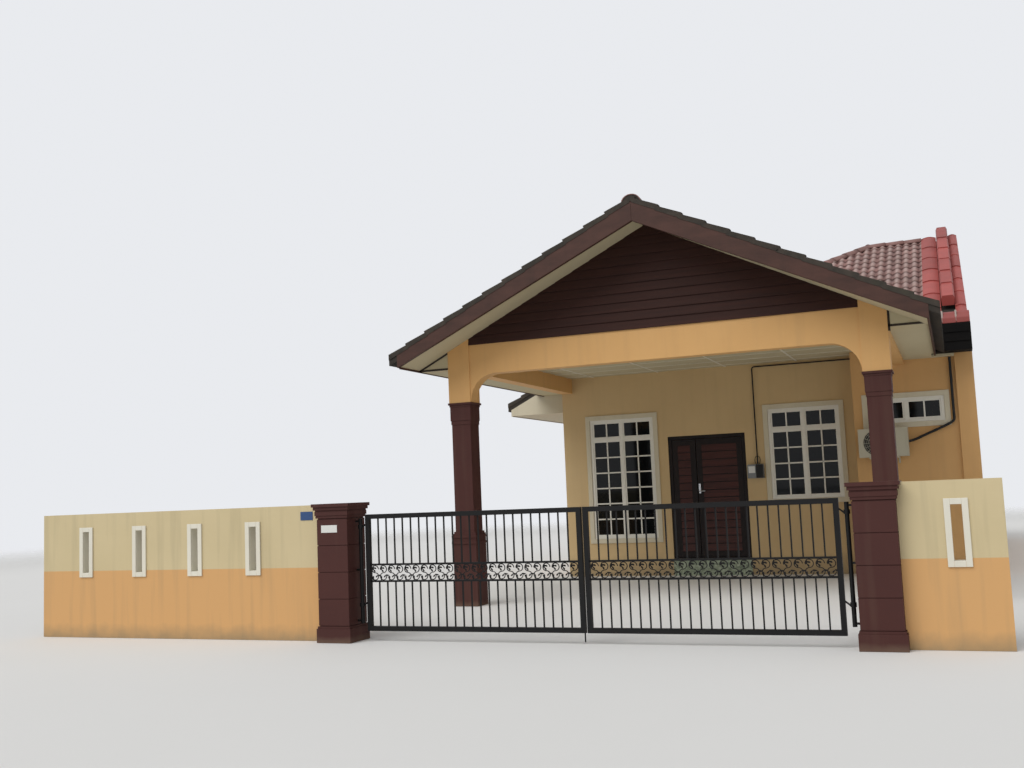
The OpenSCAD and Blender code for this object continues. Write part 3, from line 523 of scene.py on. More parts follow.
def show(name: str, data: bpy.types.ID) -> bpy.types.Object:
    """Links data to the scene as an object.

    Args:
        name: name of the object.
        data: its mesh, curve, lamp or camera.

    Returns:
        The object.
    """
    obj = bpy.data.objects.new(name, data)
    bpy.context.scene.collection.objects.link(obj)
    return obj


def clothe(obj: bpy.types.Object, finish: Finish, body: str = HOUSE,
           replaces: Sequence[str] = ()) -> bpy.types.Object:
    """Gives a finished piece its material and its body.

    Args:
        obj: the piece, in place.
        finish: its finish.
        body: the body that it rides on.
        replaces: solids that it stands for.

    Returns:
        The piece.
    """
    obj.data.materials.clear()
    obj.data.materials.append(finish.build())
    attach(obj, body)
    if replaces:
        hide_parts(*replaces)
    log.info("%s: %d faces on %s", obj.name, len(obj.data.polygons), body)
    return obj


def finish_node(finish: Finish, *names: str) -> None:
    """Puts a finish on solids that stay in view.

    Args:
        finish: the finish.
        *names: names of the solids.
    """
    for name in names:
        node = frame["nodes"][name]
        node.data.materials.clear()
        node.data.materials.append(finish.build())
        log.info("%s: %s", name, finish.label)


class Draft:
    """A mesh in the making, of closed boxes, bars and rings, that ends as a piece or a unit."""

    def __init__(self) -> None:
        """Starts empty."""
        self.mesh = bmesh.new()

    def box(self, low: Sequence[float], high: Sequence[float]) -> "Draft":
        """Adds a closed box.

        Args:
            low: its lowest corner.
            high: its highest corner.

        Returns:
            The draft.
        """
        pts = [self.mesh.verts.new((x, y, z)) for z in (low[2], high[2])
               for y in (low[1], high[1]) for x in (low[0], high[0])]
        for ids in ((0, 1, 3, 2), (4, 6, 7, 5), (0, 4, 5, 1), (2, 3, 7, 6), (0, 2, 6, 4),
                    (1, 5, 7, 3)):
            self.mesh.faces.new([pts[i] for i in ids])
        return self

    def site_box(self, low: Point, high: Point) -> "Draft":
        """Adds a box given in house measures."""
        return self.box(SITE.at(*low), SITE.at(*high))

    def loft(self, loops: Sequence[Sequence[Sequence[float]]], ring: bool = False) -> "Draft":
        """Joins loops of points.

        Args:
            loops: the loops, each with as many points.
            ring: whether the last loop joins the first; if not, both ends are filled.

        Returns:
            The draft.
        """
        rows = [[self.mesh.verts.new(point) for point in loop] for loop in loops]
        count = len(rows[0])
        for a, b in zip(rows, rows[1:] + rows[:1] if ring else rows[1:]):
            for i in range(count):
                j = (i + 1) % count
                self.mesh.faces.new((a[i], a[j], b[j], b[i]))
        if not ring:
            self.mesh.faces.new(list(reversed(rows[0])))
            self.mesh.faces.new(rows[-1])
        return self

    def bar(self, section: Sequence[Flat], place: Matrix, length: float) -> "Draft":
        """Adds a closed bar.

        Args:
            section: outline in the local XY plane.
            place: matrix from local space; the bar runs along local +Z.
            length: its length in metres.

        Returns:
            The draft.
        """
        return self.loft([[place @ Vector((x, y, z)) for x, y in section]
                          for z in (0.0, length)])

    def panel(self, outline: Sequence[Flat], y0: float, y1: float) -> "Draft":
        """Adds an upright panel across the house.

        Args:
            outline: corners as (x, z) in house measures.
            y0: near face.
            y1: far face.

        Returns:
            The draft.
        """
        return self.bar(outline, Matrix.Translation(SITE.at(0, y1, 0)) @ TO_STREET, y1 - y0)

    def rim(self, low: Flat, high: Flat, wide: float, near: float, far: float) -> "Draft":
        """Adds an upright frame of four butted strips.

        Args:
            low: outer lower corner as (x, z).
            high: outer upper corner.
            wide: width of the strips.
            near: front face.
            far: rear face.

        Returns:
            The draft.
        """
        (x0, z0), (x1, z1) = low, high
        for a, b, c, d in ((x0, z0, x0 + wide, z1), (x1 - wide, z0, x1, z1),
                           (x0 + wide, z0, x1 - wide, z0 + wide),
                           (x0 + wide, z1 - wide, x1 - wide, z1)):
            self.box((a, near, b), (c, far, d))
        return self

    def shell(self, ends: Sequence[Sequence[Sequence[Point]]]) -> "Draft":
        """Adds a smooth curved plate between two ends.

        Args:
            ends: for each end, its outer and its inner row of points.

        Returns:
            The draft.
        """
        a, b, c, d = [[self.mesh.verts.new(point) for point in row] for end in ends
                      for row in end]
        for i in range(len(a) - 1):
            for p, q in ((a, c), (d, b), (b, a), (c, d)):
                self.mesh.faces.new((p[i], p[i + 1], q[i + 1], q[i]))
        for i in (0, -1):
            self.mesh.faces.new((a[i], c[i], d[i], b[i]))
        for face in self.mesh.faces:
            face.smooth = True
        for edge in self.mesh.edges:
            edge.smooth = edge.calc_face_angle(0.0) < CREASE
        return self

    def turned(self, matrix: Matrix) -> "Draft":
        """Moves what is drawn so far."""
        bmesh.ops.transform(self.mesh, matrix=matrix, verts=self.mesh.verts)
        return self

    def end(self, name: str) -> bpy.types.Object:
        """Turns the draft into an object with its faces outwards.

        Args:
            name: name of the object.

        Returns:
            The object.
        """
        bmesh.ops.recalc_face_normals(self.mesh, faces=self.mesh.faces)
        data = bpy.data.meshes.new(name)
        self.mesh.to_mesh(data)
        self.mesh.free()
        return show(name, data)

    def piece(self, name: str, finish: Finish, bevel: float = 0.0, body: str = HOUSE,
              replaces: Sequence[str] = (), slot: str = "") -> bpy.types.Object:
        """Turns the draft into a finished piece.

        Args:
            name: name of the piece.
            finish: its finish.
            bevel: width of the bevel on its edges in metres, or 0.
            body: the body that it rides on.
            replaces: solids that it stands for.
            slot: the record's material slot; not used.

        Returns:
            The piece.
        """
        obj = self.end(name)
        if bevel > 0:
            mod = obj.modifiers.new("bevel", "BEVEL")
            mod.width, mod.segments, mod.limit_method = bevel, 2, "ANGLE"
        return clothe(obj, finish, body, replaces)

    def unit(self, name: str) -> bpy.types.Object:
        """Turns the draft into a unit for the repeater; drop_units() removes it.

        Args:
            name: name of the unit.

        Returns:
            The unit.
        """
        obj = self.end(name)
        obj["unit"] = True
        return obj


def drop_units() -> None:
    """Removes all units once the pieces are made."""
    for obj in [o for o in bpy.data.objects if o.get("unit")]:
        bpy.data.objects.remove(obj)


def tube(name: str, points: Sequence[Vector], radius: float) -> bpy.types.Object:
    """Makes a closed round tube along a path.

    Args:
        name: name of the piece.
        points: points of the path.
        radius: outer radius in metres.

    Returns:
        The mesh object.
    """
    curve = bpy.data.curves.new(name + "_path", "CURVE")
    curve.dimensions, curve.bevel_depth, curve.bevel_resolution = "3D", radius, 3
    curve.use_fill_caps = True
    line = curve.splines.new("POLY")
    line.points.add(len(points) - 1)
    for knot, point in zip(line.points, points):
        knot.co = (*point, 1.0)
    carrier = show(name + "_path", curve)
    data = bpy.data.meshes.new_from_object(
        carrier.evaluated_get(bpy.context.evaluated_depsgraph_get()))
    bpy.data.objects.remove(carrier)
    return show(name, data)


def rounded(points: Sequence[Vector], radius: float, steps: int = 6) -> list[Vector]:
    """Rounds the corners of a path.

    Args:
        points: corner points.
        radius: distance from each corner at which the bend starts.
        steps: points in a bend.

    Returns:
        Points of the rounded path.
    """
    out = [points[0]]
    for before, here, after in zip(points, points[1:], points[2:]):
        a = here + (before - here).normalized() * radius
        b = here + (after - here).normalized() * radius
        for i in range(steps + 1):
            t = i / steps
            out.append(a * (1 - t) ** 2 + here * 2 * t * (1 - t) + b * t ** 2)
    return out + [points[-1]]


def rect(x0: float, y0: float, x1: float, y1: float) -> list[Flat]:
    """Plan outline of a rectangle, anticlockwise seen from above."""
    return [(x0, y0), (x1, y0), (x1, y1), (x0, y1)]


def fence(outline: Sequence[Flat]) -> list[Plane]:
    """Upright planes round a convex anticlockwise plan outline in house measures."""
    return [(SITE.at(x0, y0, 0), (y1 - y0, x0 - x1, 0))
            for (x0, y0), (x1, y1) in zip(outline, list(outline[1:]) + [outline[0]])]


def trim(obj: bpy.types.Object, planes: Iterable[Plane], mirrored: bool = False) -> None:
    """Cuts a mesh by planes and closes the cuts.

    Args:
        obj: the object, in the shared frame.
        planes: for each plane a point and its normal, towards what goes.
        mirrored: whether the mesh was mirrored, so that its faces are turned outwards first.
    """
    mesh = bmesh.new()
    mesh.from_mesh(obj.data)
    if mirrored:
        bmesh.ops.recalc_face_normals(mesh, faces=mesh.faces)
    for point, away in planes:
        cut = bmesh.ops.bisect_plane(
            mesh, geom=mesh.verts[:] + mesh.edges[:] + mesh.faces[:], dist=1e-5,
            plane_co=point, plane_no=away, clear_outer=True)
        edges = [e for e in cut["geom_cut"] if isinstance(e, bmesh.types.BMEdge)]
        bmesh.ops.holes_fill(mesh, edges=edges)
    mesh.to_mesh(obj.data)
    mesh.free()


def merged(name: str, parts: Sequence[bpy.types.Object]) -> bpy.types.Object:
    """Joins mesh objects into one and names it.

    Args:
        name: its name.
        parts: the objects, of which the first stays.

    Returns:
        The joined object.
    """
    first = parts[0]
    if len(parts) > 1:
        with bpy.context.temp_override(active_object=first, object=first,
                                       selected_objects=list(parts),
                                       selected_editable_objects=list(parts)):
            bpy.ops.object.join()
    first.name = first.data.name = name
    return first


class Repeater:
    """Geometry Nodes tree that repeats a unit mesh on a grid, each with a small turn of its own."""

    inputs = (("Unit", "Object"), ("Count X", "Int"), ("Count Y", "Int"), ("Step X", "Float"),
              ("Step Y", "Float"), ("Sway", "Float"), ("Seed", "Int"), ("Finish", "Material"))

    def __init__(self) -> None:
        """Builds the tree once."""
        tree = self.tree = bpy.data.node_groups.new("repeat_on_grid", "GeometryNodeTree")
        self.ids = {label: tree.interface.new_socket(
            name=label, in_out="INPUT", socket_type="NodeSocket" + kind).identifier
            for label, kind in self.inputs}
        tree.interface.new_socket(name="Geometry", in_out="OUTPUT",
                                  socket_type="NodeSocketGeometry")
        given = add(tree, "NodeGroupInput").outputs
        spans = [calc(tree, "MULTIPLY", calc(tree, "SUBTRACT", given["Count " + axis], 1.0),
                      given["Step " + axis]) for axis in "XY"]
        grid = add(tree, "GeometryNodeMeshGrid", {
            "Size X": spans[0], "Size Y": spans[1], "Vertices X": given["Count X"],
            "Vertices Y": given["Count Y"]})
        corner = add(tree, "ShaderNodeCombineXYZ", {0: spans[0], 1: spans[1]})
        shift = add(tree, "ShaderNodeVectorMath", {0: corner, 1: (0.5, 0.5, 0.5)},
                    operation="MULTIPLY")
        moved = add(tree, "GeometryNodeTransform", {"Geometry": grid, "Translation": shift})
        unit = add(tree, "GeometryNodeObjectInfo", {"Object": given["Unit"]})
        least = calc(tree, "MULTIPLY", given["Sway"], -1.0)
        low, high = (add(tree, "ShaderNodeCombineXYZ", {0: end, 1: end})
                     for end in (least, given["Sway"]))
        turn = add(tree, "FunctionNodeRandomValue", {0: low, 1: high, "Seed": given["Seed"]},
                   data_type="FLOAT_VECTOR")
        placed = add(tree, "GeometryNodeInstanceOnPoints", {
            "Points": moved, "Instance": unit.outputs["Geometry"], "Rotation": turn})
        shade = add(tree, "FunctionNodeRandomValue", {"Seed": given["Seed"]}, data_type="FLOAT")
        kept = add(tree, "GeometryNodeStoreNamedAttribute",
                   {"Geometry": placed, "Name": "shade", "Value": shade.outputs[1]},
                   data_type="FLOAT", domain="INSTANCE")
        real = add(tree, "GeometryNodeRealizeInstances", {0: kept})
        done = add(tree, "GeometryNodeSetMaterial", {0: real, "Material": given["Finish"]})
        add(tree, "NodeGroupOutput", {0: done})

    def repeat(self, name: str, unit: bpy.types.Object, counts: tuple[int, int], steps: Flat,
               finish: Finish, place: Matrix, sway: float = 0.0,
               seed: int = 1) -> bpy.types.Object:
        """Repeats a unit and returns the result as a plain mesh in place.

        Args:
            name: name of the piece.
            unit: the unit, at its own origin; it is kept.
            counts: how many along X and Y.
            steps: distances along X and Y in metres.
            finish: finish of the piece.
            place: matrix from the grid to the shared frame.
            sway: largest turn about X and Y in radians.
            seed: seed of the random turns and shades.

        Returns:
            The piece.
        """
        carrier = show(name + "_grid", bpy.data.meshes.new(name + "_grid"))
        mod = carrier.modifiers.new("repeat", "NODES")
        mod.node_group = self.tree
        for (label, _), value in zip(self.inputs, (unit, *counts, *steps, sway, seed,
                                                   finish.build())):
            mod[self.ids[label]] = value
        graph = bpy.context.evaluated_depsgraph_get()
        data = bpy.data.meshes.new_from_object(carrier.evaluated_get(graph))
        carrier.modifiers.remove(mod)
        bpy.data.objects.remove(carrier)
        data.transform(place)
        return show(name, data)


REPEAT = Repeater()


def framed(across: Vector, along: Vector, up: Vector, origin: Vector) -> Matrix:
    """Matrix of a frame with three given axes at an origin."""
    return Matrix.Translation(origin) @ Matrix((across, along, up)).transposed().to_4x4()


@dataclass
class TiledRoof:
    """Tile fields on the four slopes, ridge and hip tiles, red rows at the party wall."""

    cover: float = 0.310
    gauge: float = 0.3294
    wave: float = 0.040
    thick: float = 0.012
    lap: float = 0.035
    nose: float = 0.030
    sink: float = 0.010
    edge: float = 0.004
    verge_w: float = 0.090
    verge_h: float = 0.072
    verge_low: float = 0.046
    lip: float = 0.012
    cap_gauge: float = 0.330
    cap_radius: float = 0.130
    cap_thick: float = 0.014
    cap_sink: float = 0.008
    red_gauge: float = 0.780
    red_seat: float = 0.004
    red_low: float = 0.075
    red_bow: float = 0.028
    red_tilt: float = math.radians(-1.1)
    red_gap: float = 0.006
    bead_w: float = 0.026

    def tile(self) -> bpy.types.Object:
        """Makes one tile with two rolls, closed on all sides; its lower end lies at y = 0.

        Returns:
            The tile, as a unit for the repeater.
        """
        draft, steps = Draft(), 16
        # Per point weight of the painted highlight: 1 on the crown of a roll, 0 in the pan.
        crown = draft.mesh.verts.layers.float.new("crown")
        rolls = [(0.5 - 0.5 * math.cos(4 * math.pi * i / steps)) ** 0.8
                 for i in range(steps + 1)]
        draft.shell([[[(self.cover * i / steps, y, self.wave * roll + lift + skin)
                       for i, roll in enumerate(rolls)] for skin in (self.thick, 0.0)]
                     for y, lift in ((0.0, 0.020), (self.gauge + self.lap, 0.002))])
        for i, vert in enumerate(draft.mesh.verts):
            vert[crown] = rolls[i % len(rolls)]
        return draft.unit("roof_tile_unit")

    def place(self, slope: Slope, lift: float = 0.0) -> Matrix:
        """Turns (along the eave, up the slope, off the slope) into the shared frame.

        Args:
            slope: the slope.
            lift: distance off its face.

        Returns:
            The matrix.
        """
        c, s = math.cos(SITE.pitch), math.sin(SITE.pitch)
        dx, dy = slope.value
        up, off = Vector((dx * c, dy * c, s)), Vector((-dx * s, -dy * s, c))
        x, y = {Slope.LEFT: (SITE.tip_left, SITE.rear_y),
                Slope.RIGHT: (SITE.tip_right, SITE.front_y),
                Slope.FRONT: (SITE.tip_left, -SITE.main_over),
                Slope.REAR: (SITE.coping_x, SITE.rear_y)}[slope]
        return framed(up.cross(off), up, off, SITE.at(x, y, SITE.eave_z) + off * lift)

    def fields(self) -> None:
        """Lays the tiles, cuts them to hips, valleys and verges."""
        unit, s, edge = self.tile(), SITE, self.edge
        left, box_y, top = s.tip_left + edge, -s.main_over - 0.200, (s.main_x, s.main_y)
        jobs = (
            ("roof_tiles_left", Slope.LEFT, 53, 21, 2, (
                rect(left, s.front_y, s.ridge_x, s.join_y),
                [(left, s.join_y), (s.ridge_x, s.join_y), top, (left, s.rear_y)],
                rect(s.low_x + edge, s.low_y[0], left, s.low_y[1]))),
            ("roof_tiles_porch_right", Slope.RIGHT, 27, 13, 0, (
                rect(s.ridge_x, s.front_y, s.tip_right - edge, box_y),
                [(s.ridge_x, box_y), (s.box_left, box_y), (s.box_left, s.valley(s.box_left)),
                 (s.ridge_x, s.join_y)])),
            ("roof_tiles_front", Slope.FRONT, 23, 21, 0, (
                [(s.ridge_x, s.join_y), (s.coping_x, s.valley(s.coping_x)),
                 (s.coping_x, s.main_y), top],)),
            ("roof_tiles_rear", Slope.REAR, 23, 21, 0, (
                [top, (s.coping_x, s.main_y), (s.coping_x, s.rear_y - edge),
                 (s.tip_left, s.rear_y - edge)],)))
        for seed, (name, slope, across, rows, below, outlines) in enumerate(jobs, 3):
            place = self.place(slope, -self.sink) @ Matrix.Translation(
                (0, self.nose - below * self.gauge, 0))
            parts = []
            for k, outline in enumerate(outlines):
                parts.append(REPEAT.repeat(
                    f"{name}_{k}", unit, (across, rows + below), (self.cover, self.gauge), TILE,
                    place, 0.004, seed))
                trim(parts[-1], fence(outline))
            clothe(merged(name, parts), TILE)

    def verges(self) -> None:
        """Lays stepped edge tiles up the free ends of the slopes, and mortar at the ridge."""
        s, run, ahead = SITE, self.gauge + 0.020, SITE.front_y - 0.02
        unit, lip = (Draft().bar([(0.0, foot), (0.0, self.verge_h), (run, self.verge_low),
                                  (run, heel)], ALONG_X, wide).unit(name)
                     for name, foot, heel, wide in (
                         ("verge_tile_unit", 0.004, 0.004, self.verge_w),
                         ("verge_lip_unit", 0.0, -0.012, self.lip)))
        jobs = (("verge_tiles_left", Slope.LEFT, s.rear_y - s.front_y - self.verge_w, 13, 0,
                 rect(s.tip_left, ahead, s.ridge_x, 0.0)),
                ("verge_tiles_right", Slope.RIGHT, 0.0, 13, 0,
                 rect(s.ridge_x, ahead, s.tip_right, 0.0)),
                ("verge_tiles_low", Slope.LEFT, s.rear_y - s.low_y[0] - self.verge_w, 2, 2,
                 rect(s.low_x, 0.0, s.tip_left, s.low_y[1])))
        for seed, (name, slope, along, rows, below, outline) in enumerate(jobs, 60):
            outer = self.verge_w - HAIR if slope is Slope.LEFT else HAIR - self.lip
            parts = []
            for tile, shift in ((unit, 0.0), (lip, outer)):
                place = self.place(slope) @ Matrix.Translation(
                    (along + shift, -below * self.gauge, 0))
                parts.append(REPEAT.repeat(f"{name}_{tile.name}", tile, (1, rows),
                                           (1.0, self.gauge), VERGE, place, 0.003, seed))
                trim(parts[-1], fence(outline))
            clothe(merged(name, parts), VERGE)
        r, n = self.cap_radius, 12
        arch = [(r * math.cos(math.pi * i / n), r * 0.78 * math.sin(math.pi * i / n))
                for i in range(n + 1)]
        place = Matrix.Translation(s.at(s.ridge_x, s.front_y + 0.045, s.ridge_z - self.cap_sink))
        Draft().bar(arch, place @ TO_STREET, 0.030).piece("ridge_end_mortar", VERGE,
                                                          slot="roof_tile")

    def ridges(self) -> None:
        """Beds tapered half-round tiles over the ridges and hips."""
        s, n, back = SITE, 10, 0.14
        cap = Draft().shell([
            [[(-(r - skin) * math.cos(math.pi * i / n), y,
               (r - skin) * math.sin(math.pi * i / n) * 0.82) for i in range(n + 1)]
             for skin in (0.0, self.cap_thick)]
            for y, r in ((0.0, self.cap_radius), (self.cap_gauge + 0.05, self.cap_radius - 0.016))
        ]).unit("ridge_tile_unit")
        low = s.at(s.ridge_x, s.join_y, s.ridge_z)
        top = s.at(s.main_x, s.main_y, s.main_z)
        rear = s.at(s.tip_left + back, s.rear_y - back, s.eave_z + back * s.rise)
        runs = (("ridge_tiles_porch", s.at(s.ridge_x, s.front_y + 0.01, s.ridge_z), low,
                 "ridge_porch"),
                ("hip_tiles_front", low, top, "hip_front"),
                ("ridge_tiles_main", s.at(s.coping_x, s.main_y, s.main_z), top, "ridge_main"),
                ("hip_tiles_rear", rear, top, "hip_rear"))
        for seed, (name, start, end, node) in enumerate(runs, 20):
            line = end - start
            along = line.normalized()
            side = along.cross(Vector((0, 0, 1))).normalized()
            up = side.cross(along)
            count = max(1, round(line.length / self.cap_gauge))
            made = REPEAT.repeat(name, cap, (1, count), (1.0, line.length / count), TILE,
                                 framed(side, along, up, start - up * self.cap_sink), 0.006,
                                 seed)
            clothe(made, TILE, replaces=[node])

    def red_rows(self) -> None:
        """Lays a flat row, a raised row and another flat one over the party wall."""
        s, n = SITE, 6
        low, high = s.box("party_coping")
        flat, crest = Draft(), Draft()
        for x0, x1 in ((0.0, 0.28), (0.50, high.x - low.x)):
            bow = [(x0 + (x1 - x0) * i / n,
                    self.red_low + self.red_bow * math.sin(math.pi * i / n))
                   for i in range(n + 1)]
            flat.bar(bow + [(x1, self.red_seat), (x0, self.red_seat)], TO_REAR,
                     self.red_gauge + 0.04)
        crest.bar([(0.300, 0.080), (0.288, 0.210), (0.312, 0.258), (0.478, 0.258),
                   (0.502, 0.210), (0.490, 0.080)], TO_REAR, self.red_gauge + 0.03)
        tilt = Matrix.Rotation(self.red_tilt, 4, "X")
        units = (flat.turned(tilt).unit("red_flat_unit"),
                 crest.turned(tilt).unit("red_crest_unit"))
        c, sine = math.cos(s.pitch), math.sin(s.pitch)
        parts = []
        for k, (way, foot, starts, y0, y1) in enumerate((
                (1, -s.main_over, (0.30, 1.90), s.valley(s.coping_x) + SEAM, s.main_y),
                (-1, s.rear_y, (0.0, 0.0), s.main_y, s.rear_y))):
            up, off = Vector((0, way * c, sine)), Vector((0, -way * sine, c))
            for unit, first in zip(units, starts):
                count = int((s.run / c - first) / self.red_gauge) + 1
                place = framed(Vector((1, 0, 0)), up, off,
                               s.at(s.coping_x, foot, s.eave_z) + up * first)
                parts.append(REPEAT.repeat(f"red_{k}_{unit.name}", unit, (1, count),
                                           (1.0, self.red_gauge), RED_TILE, place, 0.004,
                                           40 + k))
                trim(parts[-1], fence(rect(s.coping_x, y0, high.x, y1)), mirrored=way < 0)
        clothe(merged("red_rows_party_wall", parts), RED_TILE, replaces=["party_coping"])

    def box_row(self) -> None:
        """Lays the red tiles across the eave box, with mortar between them."""
        low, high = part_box("eave_box_caps")
        d, h, n = high.y - low.y, high.z - low.z, 3
        step = (high.x - low.x) / n
        beads, row = Draft(), Draft()
        for i in range(1, n):
            x = low.x + i * step
            beads.box((x - self.bead_w / 2, low.y + 0.02 * d, low.z + 0.1 * h),
                      (x + self.bead_w / 2, low.y + 0.34 * d, high.z - 0.002))
        beads.piece("mortar_eave_box", MORTAR, 0.010, slot="red_tile")
        for i in range(n):
            half = [(0.0, 0.0), (0.0, 0.4 * h), (0.12 * d, 0.8 * h),
                    (0.28 * d, h * (0.93 if i % 2 else 0.95))]
            row.bar(half + [(d - u, v) for u, v in reversed(half)], Matrix.Translation(
                (low.x + i * step + self.red_gap / 2, low.y, low.z)) @ ALONG_X,
                step - self.red_gap)
        row.piece("red_row_eave_box", RED_TILE, 0.008, replaces=["eave_box_caps"],
                  slot="red_tile")

    def dress(self) -> None:
        """Finishes the solids under the tiles and makes all rows."""
        finish_node(VERGE, "roof_left", "roof_porch_right", "roof_front", "roof_rear")
        finish_node(EAVE, "eave_left_low", "eave_left_rear", "eave_rear")
        finish_node(SHEET, "rake_soffit", "porch_ceiling")
        finish_node(BLACK_BOX, "party_eave_box")
        self.fields()
        self.verges()
        self.ridges()
        self.red_rows()
        self.box_row()


@dataclass
class BoxedEaves:
    """Boxed eaves beside the porch, the boards on the barges and the dark trim at the corners."""

    board: float = 0.025
    sheet: float = 0.012
    trim_w: float = 0.028
    trim_t: float = 0.006
    trim_drop: float = 0.008
    inset: float = 0.125
    barge_h: float = 0.180
    barge_foot: float = 0.100
    barge_top: float = 0.078
    rake: float = 0.098
    head: float = 0.330
    slab: float = 0.070
    beam_top: float = 3.400

    def under(self, x: float) -> float:
        """Height of the slab's underside over a given X of the porch."""
        s = SITE
        return s.ridge_z - self.slab / math.cos(s.pitch) - s.rise * abs(x - s.ridge_x)

    def side(self, name: str, node: str, wall: float, sign: int, soffit: float,
             back: float) -> None:
        """Builds one boxed eave: fascia, sheets and trim.

        Args:
            name: name of the piece.
            node: the solid that it stands for.
            wall: X of the beam face that it meets.
            sign: -1 on the left, 1 on the right.
            soffit: height of the soffit's underside.
            back: Y where the fascia ends.
        """
        s, under = SITE, self.under
        out = (s.tip_left if sign < 0 else s.tip_right) - sign * self.inset
        inner = out - sign * self.board
        gable, front = s.box("gable_boarding")[0].y, s.front_y + 0.0565
        x0, x1 = sorted((out, inner))
        low = min(soffit - 0.010, under(inner) - self.rake - 0.006)
        Draft().site_box((x0, front, low), (x1, back, under(out) - HAIR)).piece(
            name + "_fascia", BARGE, 0.002, replaces=[node], slot="barge_board")
        x0, x1 = sorted((inner, wall + sign * HAIR))
        top = soffit + self.sheet
        sheets = Draft().site_box((x0, gable, soffit), (x1, back, top)).panel(
            [(x0, soffit + SEAM), (x1, soffit + SEAM), (x1, under(x1) - 2 * SEAM),
             (x0, under(x0) - 2 * SEAM)], gable - SEAM, gable + self.sheet)
        near, line = gable - SEAM - self.trim_t, soffit - self.trim_drop
        beads = Draft().site_box((x0, near, line), (x1, gable, line + self.trim_w))
        if sign < 0:
            sheets.site_box((-self.sheet, gable + self.sheet, top),
                            (-SEAM, -2 * SEAM, self.beam_top))
            rake = [(x, under(x) - self.rake) for x in (x0 + 0.01, x1)]
            beads.panel([(x, z - self.trim_w) for x, z in rake] + rake[::-1], near,
                        gable - SEAM)
        else:
            lap = [(x, under(x) - self.rake) for x in (inner - 0.086, inner)]
            sheets.panel(lap + [(x, z + self.sheet) for x, z in lap[::-1]], front,
                         gable - 0.009)
            bay, pier = s.box("bay_wall")[0].y - SEAM, s.box("party_wall")[0].x - SEAM
            box, rear = s.box_left, s.valley(s.box_left) + SEAM
            sheets.site_box((x0, back, soffit), (box - SEAM, bay, top))
            sheets.site_box((box - SEAM, rear, soffit), (pier, bay, top))
            sheets.site_box((box, rear - 0.011, soffit), (pier, rear, self.beam_top - SEAM))
            beads.site_box((wall + HAIR, near, soffit - 0.060),
                           (wall + self.trim_w, gable, under(wall) - self.rake - 2 * SEAM))
        sheets.piece(name + "_sheets", SHEET, slot="soffit_sheet")
        beads.piece(name + "_trim", EAVE_BEAD, slot="dark_board")

    def barges(self) -> None:
        """Faces both barge boards up to the edge tiles."""
        s = SITE
        for side, sign in (("left", -1), ("right", 1)):
            foot, mid = s.ridge_x + sign * (s.half_w - self.inset), s.ridge_x + sign * 0.0008
            peak, low = self.under(s.ridge_x), self.under(foot)
            Draft().panel([(mid, peak - self.barge_h), (foot, low - self.barge_foot),
                           (foot, low + self.barge_top), (mid, peak + self.barge_top)],
                          s.front_y - 0.006, s.front_y + 0.055).piece(
                "barge_board_" + side, BARGE, 0.002, replaces=["barge_" + side],
                slot="barge_board")

    def head_wedges(self) -> None:
        """Carries the plaster of both column heads up to the raking soffit."""
        low, high = SITE.box("porch_beam_front")
        drop = self.rake + SEAM
        for side, near, far in (("left", 0.0, self.head),
                                ("right", high.x, high.x - self.head)):
            outline = [(near, self.under(0.0) - drop), (far, self.under(0.0) - drop),
                       (far, self.under(far) - drop)]
            Draft().panel(outline, low.y, SITE.box("gable_boarding")[0].y - HAIR).piece(
                "head_wedge_" + side, BEAM, slot="orange_plaster")

    def dress(self) -> None:
        """Builds both eaves, the barge faces and the wedges over the column heads."""
        s = SITE
        self.head_wedges()
        self.side("porch_eave_left", "eave_left_porch", 0.0, -1, 3.325, s.low_y[0] - HAIR)
        self.side("porch_eave_right", "eave_right", s.box("porch_beam_front")[1].x, 1, 3.370,
                  -s.main_over - 0.2005)
        self.barges()


